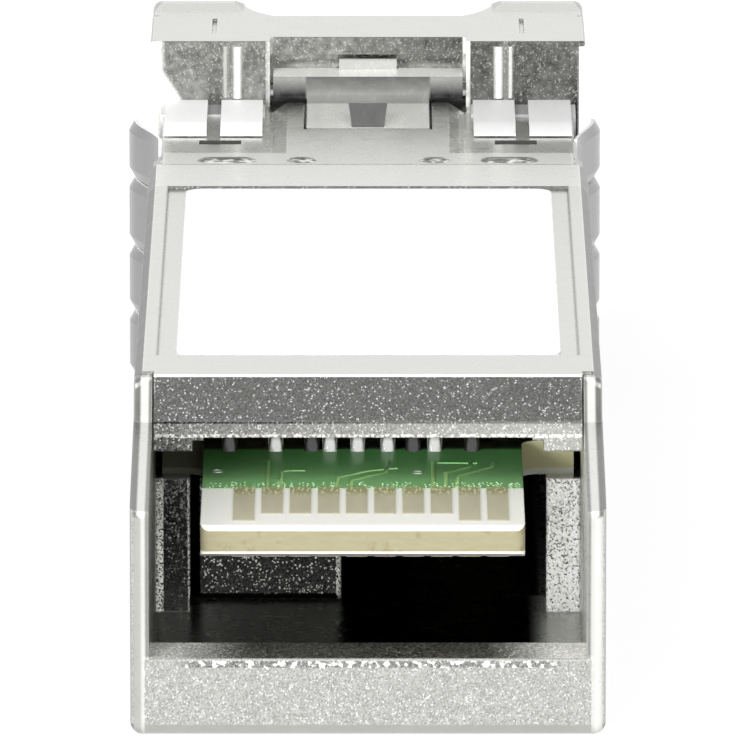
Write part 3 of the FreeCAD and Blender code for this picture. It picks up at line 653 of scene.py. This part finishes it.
def springFinish(name, recipe):
    # bright on the face fingers, dull on the sides turned to the body; painted shade darkens the
    # side fingers, the right face fingers and the band between the fingers, and painted light pales
    # the sides turned to the body
    finish, start = newFinish(name)
    point = partPoint(start)
    x, y = point.axes()[:2]
    across, along, up = faceAxes(start)
    streak = streaks(start, point, recipe["streak"])
    flank = abs(across).above(*recipe["flank"])
    inward = (0 - across * x).above(*recipe["inward"])
    upward = up.above(*recipe["upward"])
    rightFace = x.above(0.0) * (1 - flank)
    # painted shade on the side fingers and the right face fingers, painted light on the inward
    # sides, painted shade on the band between the fingers
    tone = recipe["faceTone"] - flank * (recipe["faceTone"] - recipe["sideTone"])
    tone = tone - rightFace * recipe["rightShade"]
    tone = tone + inward * (recipe["innerTone"] - tone)
    bandEnd = upward * y.above(recipe["bandRear"]) * abs(x).within(*recipe["bandAcross"])
    shade = tone + bandEnd * (recipe["bandTone"] - tone) + streak.swing(recipe["streakTone"])
    dull = inward.most(upward).most((0 - along).above(*recipe["rearward"]))
    rough = recipe["roughness"] + streak.swing(drawing["streakRoughness"])
    closeFinish(start, {
        "Base Color": tinged(start, shade, recipe["blue"]),
        "Metallic": 1 - dull * recipe["dull"],
        "Roughness": rough + dull * recipe["dullRoughness"],
        "Normal": roundedEdge(start, recipe["edgeRadius"]),
    })
    return finish


labelStock = {
    "white": 0.985, "blue": 1.0, "fibrePerMm": 9.0, "fibreDetail": 4.0, "fibreTone": 0.03,
    "broadPerMm": 0.35, "broadTone": 0.02, "broadRoughness": 0.1, "roughness": 0.5,
    "bump": 0.08, "bumpHigh": 0.02,
}


def labelFinish(name, recipe):
    finish, start = newFinish(name)
    point = partPoint(start)
    fibre = noise(start, point, recipe["fibrePerMm"], recipe["fibreDetail"])
    broad = noise(start, point, recipe["broadPerMm"])
    white = recipe["white"] + fibre.swing(recipe["fibreTone"]) + broad.swing(recipe["broadTone"])
    closeFinish(start, {
        "Base Color": tinged(start, white, recipe["blue"]),
        "Roughness": recipe["roughness"] + broad.swing(recipe["broadRoughness"]),
        "Normal": bumped(start, fibre, recipe),
    })
    return finish


board = {
    "maskRear": 7.95, "maskBlur": 0.03, "raggedPerMm": 5.0, "ragged": 0.1, "weavePerMm": 3.0,
    "weaveDetail": 3.0, "maskGreen": (0.36, 0.72, 0.32, 1.0),
    "maskDark": (0.28, 0.60, 0.25, 1.0), "maskDeep": (0.34, 0.92, 0.33, 1.0),
    "deepFrom": (11.2, 1.4), "paintedShadow": (0.012, 0.014, 0.012, 1.0),
    "paintedShadowFrom": (13.0, 0.2), "bare": (0.92, 0.915, 0.86, 1.0),
    "glassEdge": (0.36, 0.33, 0.21, 1.0), "edgeDark": (0.28, 0.255, 0.155, 1.0),
    "layerStretch": (1.2, 1.2, 5.0), "layerPerMm": 1.6, "layerDetail": 4.0,
    "edgeSpot": (0.22, 0.18, 0.09, 1.0), "spotPerMm": 2.4, "spotDetail": 3.0,
    "spotFrom": (0.64, 0.03), "spotShare": 0.5, "neckRear": 13.0,
    "neckLeft": (0.12, 0.112, 0.07, 1.0), "neckRight": (0.84, 0.80, 0.50, 1.0),
    "rimLine": (0.97, 0.95, 0.86, 1.0), "rimHigh": (4.56, 0.02), "rimDrop": 0.07,
    "rimFade": 0.8, "flat": (0.5, 0.1), "roughness": 0.5, "maskGloss": 0.36, "coat": 0.8,
    "coatRoughness": 0.04, "edgeRadius": 0.05,
}


def boardFinish(name, recipe):
    # green mask over pale laminate, glass weave showing on the cut edges; the mask is brightened
    # deep under the lip as painted light and near black under the chips as painted shadow, and the
    # neck's edge and a pale lower line are painted light and shade
    finish, start = newFinish(name)
    point = partPoint(start)
    x, y, z = point.axes()
    flat = abs(faceAxes(start)[2]).above(*recipe["flat"])
    ragged = noise(start, point, recipe["raggedPerMm"]).swing(recipe["ragged"])
    masked = (y + ragged).above(recipe["maskRear"], recipe["maskBlur"])
    weave = noise(start, point, recipe["weavePerMm"], recipe["weaveDetail"])
    mask = weave.tint(recipe["maskDark"], recipe["maskGreen"])
    # painted light: the mask brightens deep under the cover's lip, where it is shaded; painted
    # shadow: near black further in, under the chips
    mask = y.above(*recipe["deepFrom"]).tint(mask, recipe["maskDeep"])
    mask = y.above(*recipe["paintedShadowFrom"]).tint(mask, recipe["paintedShadow"])
    face = masked.tint(recipe["bare"], mask)
    layers = stretched(start, point, recipe["layerStretch"])
    layer = noise(start, layers, recipe["layerPerMm"], recipe["layerDetail"])
    edge = layer.tint(recipe["edgeDark"], recipe["glassEdge"])
    spotted = noise(start, point, recipe["spotPerMm"], recipe["spotDetail"])
    spotted = spotted.above(*recipe["spotFrom"]) * recipe["spotShare"]
    edge = spotted.tint(edge, recipe["edgeSpot"])
    # painted light and shade: the neck's cut edge is pale on the right and near black on the left;
    # the pale line along the lower edges is a painted highlight, faded on the left neck
    neck = y.above(recipe["neckRear"])
    left = x.below(0.0)
    edge = neck.tint(edge, left.tint(recipe["neckRight"], recipe["neckLeft"]))
    line = (z + neck * recipe["rimDrop"]).below(*recipe["rimHigh"])
    line = line * (1 - neck * left * recipe["rimFade"])
    edge = line.tint(edge, recipe["rimLine"])
    closeFinish(start, {
        "Base Color": flat.tint(edge, face),
        "Roughness": recipe["roughness"] - flat * masked * recipe["maskGloss"],
        "Coat Weight": flat * masked * recipe["coat"],
        "Coat Roughness": recipe["coatRoughness"],
        "Normal": roundedEdge(start, recipe["edgeRadius"]),
    })
    return finish


contactPlate = {
    "gold": (0.78, 0.72, 0.52, 1.0), "worn": (0.66, 0.62, 0.47, 1.0),
    "stretch": (1.0, 0.2, 1.0), "rubPerMm": 4.0, "rubDetail": 3.0, "rubRoughness": 0.2,
    "rearLine": (0.42, 0.39, 0.29, 1.0), "rearFace": (0.3, 0.1),
    "stain": (0.46, 0.43, 0.22, 1.0), "stainFrom": (7.15, 0.35), "stainShare": 0.9,
    "speck": (0.90, 0.90, 0.55, 1.0), "speckPerMm": 12.0, "speckDetail": 1.0,
    "speckFrom": (0.56, 0.04), "metallic": 0.35, "roughness": 0.5,
}


def contactFinish(name, recipe):
    # dull gold flash, rubbed by the connector's springs and stained by the mask at its inner end,
    # where its bright specks are painted glints
    finish, start = newFinish(name)
    point = partPoint(start)
    y = point.axes()[1]
    rearward = 0 - faceAxes(start)[1]
    drawn = stretched(start, point, recipe["stretch"])
    rubAndGlint = noise(start, drawn, recipe["rubPerMm"], recipe["rubDetail"])
    face = rubAndGlint.tint(recipe["worn"], recipe["gold"])
    # painted glints: bright specks over the stain at the contacts' inner ends
    specks = noise(start, drawn, recipe["speckPerMm"], recipe["speckDetail"])
    stain = specks.above(*recipe["speckFrom"]).tint(recipe["stain"], recipe["speck"])
    face = (y.above(*recipe["stainFrom"]) * recipe["stainShare"]).tint(face, stain)
    closeFinish(start, {
        "Base Color": rearward.above(*recipe["rearFace"]).tint(face, recipe["rearLine"]),
        "Metallic": recipe["metallic"],
        "Roughness": recipe["roughness"] + rubAndGlint.swing(recipe["rubRoughness"]),
    })
    return finish


plainStuff = {
    "chip": {
        "pale": (0.032, 0.032, 0.034, 1.0), "deep": (0.016, 0.016, 0.017, 1.0),
        "perMm": 14.0, "roughness": 0.55,
    },
    "capacitor": {
        "pale": (0.36, 0.25, 0.16, 1.0), "deep": (0.25, 0.16, 0.1, 1.0),
        "perMm": 8.0, "roughness": 0.4,
    },
    "pad": {
        "pale": (0.46, 0.52, 0.56, 1.0), "deep": (0.36, 0.42, 0.47, 1.0),
        "perMm": 5.0, "roughness": 0.75,
    },
    "sleeve": {
        "pale": (0.9, 0.89, 0.86, 1.0), "deep": (0.84, 0.83, 0.8, 1.0),
        "perMm": 3.0, "roughness": 0.15,
    },
    "flex": {
        "pale": (0.5, 0.24, 0.05, 1.0), "deep": (0.36, 0.16, 0.03, 1.0),
        "perMm": 2.0, "roughness": 0.3,
    },
    "retainer": {
        "pale": (0.05, 0.05, 0.05, 1.0), "deep": (0.03, 0.03, 0.03, 1.0),
        "perMm": 6.0, "roughness": 0.5,
    },
}

plainGrain = {"detail": 3.0, "roughness": 0.15, "bump": 0.15, "bumpHigh": 0.02}


def plainFinish(name, recipe):
    finish, start = newFinish(name)
    mottle = noise(start, partPoint(start), recipe["perMm"], plainGrain["detail"])
    closeFinish(start, {
        "Base Color": mottle.tint(recipe["deep"], recipe["pale"]),
        "Roughness": recipe["roughness"] + mottle.swing(plainGrain["roughness"]),
        "Normal": bumped(start, mottle, plainGrain),
    })
    return finish


tinned = {
    "pale": (0.98, 0.98, 0.97, 1.0), "deep": (0.82, 0.82, 0.82, 1.0),
    "shadedMirror": (0.10, 0.10, 0.10, 1.0),
    "bareEnds": [(-9.0, -3.4), (-2.0, -1.37), (0.95, 1.6), (2.5, 9.0)],
    "endBlur": 0.03, "endRear": 11.8, "frostPerMm": 7.0, "frostDetail": 3.0,
    "frostRoughness": 0.15, "capTop": (5.66, 0.1), "capShare": 0.75, "capTone": 0.05,
    "metallic": 0.95, "frostDull": 0.2, "roughness": 0.12, "frostRough": 0.1,
    "edgeRadius": 0.08, "upright": (1.0, 1.0, 0.001), "lean": 0.16,
}


def tinFinish(name, recipe):
    # some ends frosted, the others mirrors with a dark base colour that is painted shade, all
    # darker towards the chip's top as painted shade
    finish, start = newFinish(name)
    point = partPoint(start)
    x, y, z = point.axes()
    frost = noise(start, point, recipe["frostPerMm"], recipe["frostDetail"])
    onEnds = y.above(recipe["endRear"])
    frosted = 1.0
    for low, high in recipe["bareEnds"]:
        frosted = frosted - x.within(low, high, recipe["endBlur"]) * onEnds
    face = frosted.tint(recipe["shadedMirror"], frost.tint(recipe["deep"], recipe["pale"]))
    # painted shade: darker towards the chip's top
    capped = z.above(*recipe["capTop"]) * recipe["capShare"]
    upright = stretched(start, roundedEdge(start, recipe["edgeRadius"]), recipe["upright"])
    rough = recipe["roughness"] + frosted * recipe["frostRough"]
    closeFinish(start, {
        "Base Color": capped.tint(face, grey(recipe["capTone"])),
        "Metallic": recipe["metallic"] - frosted * recipe["frostDull"],
        "Roughness": rough + frost.swing(recipe["frostRoughness"]),
        "Normal": leaned(start, upright, 0.0, recipe["lean"]),
    })
    return finish


finishes = {
    "base_casting": castFinish("baseCasting", castings, baseMarks),
    "cover_casting": castFinish("coverCasting", castings, coverMarks),
    "bail_casting": castFinish("bailCasting", castings, bailMarks),
    "screw_steel": steelFinish("screwSteel", steels["screw"]),
    "spring_sheet": springFinish("springSheet", springSheet),
    "lever_steel": leverFinish("leverSteel", leverSheet),
    "pin_steel": steelFinish("pinSteel", steels["pin"]),
    "can_steel": steelFinish("canSteel", steels["can"]),
    "barrel_steel": steelFinish("barrelSteel", steels["barrel"]),
    "label_paper": labelFinish("labelStock", labelStock),
    "board_laminate": boardFinish("boardLaminate", board),
    "contact_gold": contactFinish("contactGold", contactPlate),
    "chip_resin": plainFinish("chipResin", plainStuff["chip"]),
    "capacitor_ceramic": plainFinish("capacitorCeramic", plainStuff["capacitor"]),
    "pad_silicone": plainFinish("padSilicone", plainStuff["pad"]),
    "sleeve_ceramic": plainFinish("sleeveCeramic", plainStuff["sleeve"]),
    "flex_film": plainFinish("flexFilm", plainStuff["flex"]),
    "retainer_plastic": plainFinish("retainerPlastic", plainStuff["retainer"]),
    "terminal_tin": tinFinish("terminalTin", tinned),
}

for part in frame["record"]["subparts"]:
    mesh = nodes[part["node"]].data
    mesh.materials.clear()
    mesh.materials.append(finishes[part["material_slot"]])


socketKinds = {float: "NodeSocketFloat", int: "NodeSocketInt", Vector: "NodeSocketVector"}


def newGrowth(name, sizes):
    # a geometry tree with a geometry and its named sizes going in
    tree = bpy.data.node_groups.new(name, "GeometryNodeTree")
    for way in ("INPUT", "OUTPUT"):
        tree.interface.new_socket("Geometry", in_out=way, socket_type="NodeSocketGeometry")
    for label, size in sizes.items():
        tree.interface.new_socket(label, in_out="INPUT", socket_type=socketKinds[type(size)])
    start = Wire(tree)
    return tree, start, start.node("NodeGroupInput")


def newObject(name, data):
    made = bpy.data.objects.new(name, data)
    bpy.context.scene.collection.objects.link(made)
    return made


def smoothed(start, geometry):
    return start.node("GeometryNodeSetShadeSmooth", {"Geometry": geometry})


def randomSize(start, given, least, largest):
    sockets = {2: given.other(least), 3: given.other(largest), "Seed": given.other("Seed")}
    return start.node("FunctionNodeRandomValue", sockets, {"data_type": "FLOAT"}, out=1)


def pointValue(start, label):
    kind = {"data_type": "FLOAT"}
    return start.node("GeometryNodeInputNamedAttribute", {"Name": label}, kind)


def closeGrowth(start, geometry, finish):
    real = start.node("GeometryNodeRealizeInstances", {"Geometry": geometry})
    painted = start.node("GeometryNodeSetMaterial", {"Geometry": real, "Material": finish})
    start.node("NodeGroupOutput", {0: painted})


def grow(name, seedMesh, tree, sizes):
    carrier = newObject(name + "Seed", seedMesh)
    modifier = carrier.modifiers.new("grow", "NODES")
    modifier.node_group = tree
    for socket in tree.interface.items_tree:
        if socket.in_out == "INPUT" and socket.name in sizes:
            modifier[socket.identifier] = sizes[socket.name]
    evaluated = carrier.evaluated_get(bpy.context.evaluated_depsgraph_get())
    piece = newObject(name, bpy.data.meshes.new_from_object(evaluated))
    carrier.modifiers.remove(modifier)
    bpy.data.objects.remove(carrier)
    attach(piece, "housing")
    print("grown:", name, len(piece.data.polygons), "faces")


def onBoard(x, y):
    # millimetres across and from the rear skirt, on the board's upper face
    return Vector((x * mm, rearY + y * mm, boardTop))


def mergedShape(mesh):
    # a copy of a node's mesh with its corners joined
    shape = bmesh.new()
    shape.from_mesh(mesh)
    bmesh.ops.remove_doubles(shape, verts=shape.verts, dist=mergeGap)
    return shape


def looseBoxes(mesh):
    # the box of each loose solid in a node's mesh, by shared corners
    shape = mergedShape(mesh)
    boxes = []
    left = set(shape.verts)
    while left:
        stack = [next(iter(left))]
        left.discard(stack[0])
        island = []
        while stack:
            vert = stack.pop()
            island.append(vert.co.copy())
            for edge in vert.link_edges:
                mate = edge.other_vert(vert)
                if mate in left:
                    left.discard(mate)
                    stack.append(mate)
        boxes.append([(min(c[i] for c in island), max(c[i] for c in island)) for i in range(3)])
    shape.free()
    return sorted(boxes)


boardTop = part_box("circuit_board")[1].z

solder = {
    "spread": 0.24, "taper": 0.10, "shortest": 0.86, "tallest": 1.02, "seed": 4, "across": 6,
    "deep": 3, "high": 8, "slopeShare": 0.25, "footShare": 0.75, "footPower": 8.0, "crown": 1.4,
}


def middle(low, high):
    return round((low + high) / 2 / mm, 3)


def solderFillets(recipe):
    # a concave fillet of solder against the outer end of every chip terminal
    boxes = looseBoxes(nodes["chip_terminals"].data)
    middles = sorted({middle(*box[1]) for box in boxes})
    places = []
    values = {"facing": [], "width": [], "height": []}
    for (x0, x1), (y0, y1), (z0, z1) in boxes:
        rearRow = middles.index(middle(y0, y1)) % 2 == 0
        places.append(((x0 + x1) / 2, y0 if rearRow else y1, z0))
        values["facing"].append(0.0 if rearRow else math.pi)
        values["width"].append(x1 - x0)
        values["height"].append(z1 - z0)
    mesh = bpy.data.meshes.new("solderSeed")
    mesh.from_pydata(places, [], [])
    for label, numbers in values.items():
        mesh.attributes.new(label, "FLOAT", "POINT").data.foreach_set("value", numbers)
    sizes = {
        "Spread": recipe["spread"] * mm,
        "Taper": recipe["taper"],
        "Shortest": recipe["shortest"],
        "Tallest": recipe["tallest"],
        "Seed": recipe["seed"],
    }
    tree, start, given = newGrowth("solderFillets", sizes)
    block = start.node("GeometryNodeMeshCube", {
        "Vertices X": recipe["across"],
        "Vertices Y": recipe["deep"],
        "Vertices Z": recipe["high"],
    })
    u, v, w = start.node("GeometryNodeInputPosition").axes()
    rise = w + 0.5
    sink = 1 - rise
    hollow = sink * recipe["slopeShare"] + sink ** recipe["footPower"] * recipe["footShare"]
    depth = given.other("Spread") * hollow * (1 - u * u * recipe["crown"])
    shaped = start.node("ShaderNodeCombineXYZ", {
        0: u * (1 - rise * given.other("Taper")),
        1: (v - 0.5) * depth,
        2: rise,
    })
    wedge = start.node("GeometryNodeSetPosition", {"Geometry": block, "Position": shaped})
    tall = randomSize(start, given, "Shortest", "Tallest")
    scale = start.node("ShaderNodeCombineXYZ", {
        0: pointValue(start, "width"),
        1: 1.0,
        2: pointValue(start, "height") * tall,
    })
    turn = start.node("ShaderNodeCombineXYZ", {2: pointValue(start, "facing")})
    placed = start.node("GeometryNodeInstanceOnPoints", {
        "Points": given,
        "Instance": smoothed(start, wedge),
        "Rotation": turn,
        "Scale": scale,
    })
    closeGrowth(start, placed, finishes["terminal_tin"])
    grow("solderFillets", mesh, tree, sizes)


solderFillets(solder)

maskBeads = {
    "count": 330, "left": -4.6, "right": 4.35, "rear": 7.7, "front": 8.6, "small": 0.012,
    "large": 0.034, "flat": 0.5, "seed": 11, "subdivisions": 2,
    "green": (0.36, 0.60, 0.32, 1.0), "pale": (0.70, 0.84, 0.58, 1.0), "mottlePerMm": 5.0,
    "roughness": 0.12, "mottleRoughness": 0.1, "coat": 0.6,
}


def beadFinish(recipe):
    finish, start = newFinish("maskBead")
    mottle = noise(start, partPoint(start), recipe["mottlePerMm"])
    closeFinish(start, {
        "Base Color": mottle.tint(recipe["green"], recipe["pale"]),
        "Roughness": recipe["roughness"] + mottle * recipe["mottleRoughness"],
        "Coat Weight": recipe["coat"],
    })
    return finish


def growMaskBeads(recipe):
    # beads of mask left along its edge, over the contacts' inner ends
    high = onBoard(recipe["right"], recipe["front"])
    high.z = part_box("edge_contacts")[1].z
    sizes = {
        "Count": recipe["count"],
        "Low": onBoard(recipe["left"], recipe["rear"]),
        "High": high,
        "Small": recipe["small"] * mm,
        "Large": recipe["large"] * mm,
        "Flat": recipe["flat"],
        "Seed": recipe["seed"],
    }
    tree, start, given = newGrowth("maskBeads", sizes)
    row = start.node("GeometryNodePoints", {"Count": given.other("Count")})
    spot = start.node("FunctionNodeRandomValue", {
        0: given.other("Low"),
        1: given.other("High"),
        "Seed": given.other("Seed"),
    }, {"data_type": "FLOAT_VECTOR"})
    row = start.node("GeometryNodeSetPosition", {"Geometry": row, "Position": spot})
    size = randomSize(start, given, "Small", "Large")
    bead = start.node("GeometryNodeMeshIcoSphere", {
        "Radius": 1.0,
        "Subdivisions": recipe["subdivisions"],
    })
    flattened = {0: size, 1: size, 2: size * given.other("Flat")}
    placed = start.node("GeometryNodeInstanceOnPoints", {
        "Points": row,
        "Instance": smoothed(start, bead),
        "Scale": start.node("ShaderNodeCombineXYZ", flattened),
    })
    closeGrowth(start, placed, beadFinish(recipe))
    grow("maskBeads", bpy.data.meshes.new("beadSeed"), tree, sizes)


growMaskBeads(maskBeads)

traces = {
    "width": 0.13, "high": 0.015,
    "routes": [
        [(-2.85, 8.0), (-2.85, 11.4)],
        [(-2.48, 8.0), (-2.48, 10.0), (-2.28, 10.2), (-1.8, 10.2)],
        [(-0.9, 8.0), (-0.86, 9.3), (0.06, 10.2), (0.83, 10.5)],
        [(-0.48, 8.0), (-0.48, 8.95), (0.51, 9.95), (0.57, 11.4)],
        [(1.87, 8.0), (1.87, 11.4)],
        [(2.22, 8.0), (2.22, 9.9), (2.9, 10.6), (2.96, 11.4)],
        [(2.55, 8.0), (2.55, 9.5), (3.53, 10.6), (3.63, 11.2)],
        [(2.0, 11.2), (3.14, 11.15)],
    ],
    "green": (0.38, 0.62, 0.24, 1.0), "dark": (0.30, 0.54, 0.20, 1.0),
    "deep": (0.42, 0.94, 0.38, 1.0), "deepFrom": (10.6, 0.9), "mottlePerMm": 3.0,
    "mottleDetail": 3.0, "roughness": 0.24, "mottleRoughness": 0.1, "coat": 0.2,
}


def traceFinish(recipe):
    finish, start = newFinish("maskedTrace")
    point = partPoint(start)
    y = point.axes()[1]
    mottle = noise(start, point, recipe["mottlePerMm"], recipe["mottleDetail"])
    green = mottle.tint(recipe["dark"], recipe["green"])
    closeFinish(start, {
        # painted light: the tracks turn the bright deep-mask green under the lip
        "Base Color": y.above(*recipe["deepFrom"]).tint(green, recipe["deep"]),
        "Roughness": recipe["roughness"] + mottle * recipe["mottleRoughness"],
        "Coat Weight": recipe["coat"],
    })
    return finish


def growTraces(recipe):
    # copper tracks that stand up a little under the mask
    points = []
    edges = []
    for route in recipe["routes"]:
        for index, (x, y) in enumerate(route):
            if index:
                edges.append((len(points) - 1, len(points)))
            points.append(onBoard(x, y))
    mesh = bpy.data.meshes.new("traceSeed")
    mesh.from_pydata(points, edges, [])
    sizes = {"Width": recipe["width"] * mm, "High": recipe["high"] * mm}
    tree, start, given = newGrowth("boardTraces", sizes)
    path = start.node("GeometryNodeMeshToCurve", {"Mesh": given})
    path = start.node("GeometryNodeSetCurveNormal", {"Curve": path}, {"mode": "Z_UP"})
    strip = start.node("GeometryNodeCurvePrimitiveQuadrilateral", {
        "Width": given.other("Width"),
        "Height": given.other("High") * 2,
    })
    track = start.node("GeometryNodeCurveToMesh", {
        "Curve": path,
        "Profile Curve": strip,
        "Fill Caps": True,
    })
    closeGrowth(start, track, traceFinish(recipe))
    grow("boardTraces", mesh, tree, sizes)


growTraces(traces)

vias = {
    "places": [(-4.3, 10.1), (1.42, 9.95)],
    "ring": 0.15, "ringSteps": 20, "wire": 0.018, "wireSteps": 8,
}


def circle(start, steps, radius):
    sockets = {"Resolution": steps, "Radius": radius}
    return start.node("GeometryNodeCurvePrimitiveCircle", sockets)


def growVias(recipe):
    # tinned rims of the plated holes
    mesh = bpy.data.meshes.new("viaSeed")
    mesh.from_pydata([onBoard(x, y) for x, y in recipe["places"]], [], [])
    sizes = {"Ring": recipe["ring"] * mm, "Wire": recipe["wire"] * mm}
    tree, start, given = newGrowth("viaRings", sizes)
    ring = start.node("GeometryNodeCurveToMesh", {
        "Curve": circle(start, recipe["ringSteps"], given.other("Ring")),
        "Profile Curve": circle(start, recipe["wireSteps"], given.other("Wire")),
    })
    placed = start.node("GeometryNodeInstanceOnPoints", {
        "Points": given,
        "Instance": smoothed(start, ring),
    })
    closeGrowth(start, placed, finishes["terminal_tin"])
    grow("viaRings", mesh, tree, sizes)


growVias(vias)
print("board dressed")


def pressLeaf():
    # the leaf spring, which flattens under the lever's tongue as the lever rocks; here a copy of
    # its mesh with the corners joined takes the CAD part's place
    mesh = nodes["lever_spring"].data.copy()
    shape = mergedShape(mesh)
    shape.to_mesh(mesh)
    shape.free()
    piece = newObject("leverLeaf", mesh)
    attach(piece, "housing")
    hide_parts("lever_spring")
    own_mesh(piece)
    print("leaf spring set to flatten:", len(mesh.polygons), "faces")


pressLeaf()


studio = {
    "floorSize": 8.0, "floorWhite": 0.6, "floorShade": 0.26, "floorGlow": 0.83,
    "horizon": (0.56, 1.0), "zenith": (0.70, 0.22),
    "key": {"place": (-0.35, -0.75, 0.45), "side": 0.50, "watts": 5.5},
    "fill": {"place": (0.40, -0.65, 0.50), "side": 0.50, "watts": 3.2},
    "low": {"place": (-0.38, -0.82, 0.125), "side": 0.22, "watts": 4.2},
}


def buildFloor(recipe):
    # plain pale floor: white to the eye and in mirrors, duller in the light that it gives back
    half = recipe["floorSize"] / 2
    corners = [(-half, -half, 0), (half, -half, 0), (half, half, 0), (-half, half, 0)]
    mesh = bpy.data.meshes.new("floor")
    mesh.from_pydata(corners, [], [(0, 1, 2, 3)])
    floor = newObject("floor", mesh)
    finish, start = newFinish("floorWhite")
    plain = start.node("ShaderNodeBsdfDiffuse", {"Color": grey(recipe["floorWhite"])})
    shade = start.node("ShaderNodeBsdfDiffuse", {"Color": grey(recipe["floorShade"])})
    white = {"Color": grey(1.0), "Strength": recipe["floorGlow"]}
    glow = start.node("ShaderNodeEmission", white)
    seen = start.node("ShaderNodeAddShader", {0: shade, 1: glow})
    ray = start.node("ShaderNodeLightPath")
    looking = ray.most(ray.other("Is Glossy Ray")).most(ray.other("Is Transmission Ray"))
    both = start.node("ShaderNodeMixShader", {0: looking, 1: plain, 2: seen})
    start.node("ShaderNodeOutputMaterial", {"Surface": both})
    mesh.materials.append(finish)


def buildWorld(recipe):
    # a white wall all round, and a darker ceiling over it
    world = bpy.data.worlds.new("studio")
    world.use_nodes = True
    world.node_tree.nodes.clear()
    start = Wire(world.node_tree)
    z = start.node("ShaderNodeTexCoord", out="Generated").axes()[2]
    sky = start.node("ShaderNodeValToRGB", {0: z})
    stops = sky.socket.node.color_ramp.elements
    for stop, (place, level) in zip(stops, (recipe["horizon"], recipe["zenith"])):
        stop.position = place
        stop.color = grey(level)
    back = start.node("ShaderNodeBackground", {"Color": sky, "Strength": 1.0})
    start.node("ShaderNodeOutputWorld", {"Surface": back})
    bpy.context.scene.world = world


def addLamp(name, recipe):
    data = bpy.data.lights.new(name, "AREA")
    data.size = recipe["side"]
    data.energy = recipe["watts"]
    lamp = newObject(name, data)
    lamp.location = recipe["place"]
    lamp.rotation_euler = (-Vector(recipe["place"])).to_track_quat("-Z", "Y").to_euler()
    lamp.visible_camera = False
    lamp.visible_glossy = False


buildFloor(studio)
buildWorld(studio)
addLamp("keyLamp", studio["key"])
addLamp("fillLamp", studio["fill"])
addLamp("lowLamp", studio["low"])
bpy.context.scene.view_settings.view_transform = "Standard"
print("studio lit")


camera = {
    "place": (0.0, -0.42227, 0.09841), "tilt": 77.434, "lens": 708.1, "sensor": 36.0,
    "nearest": 0.01, "furthest": 20.0,
}
cameraData = bpy.data.cameras.new("camera")
cameraData.lens = camera["lens"]
cameraData.sensor_width = camera["sensor"]
cameraData.clip_start = camera["nearest"]
cameraData.clip_end = camera["furthest"]
cameraObject = newObject("camera", cameraData)
cameraObject.location = camera["place"]
cameraObject.rotation_euler = (math.radians(camera["tilt"]), 0.0, 0.0)
bpy.context.scene.camera = cameraObject
print("camera set")
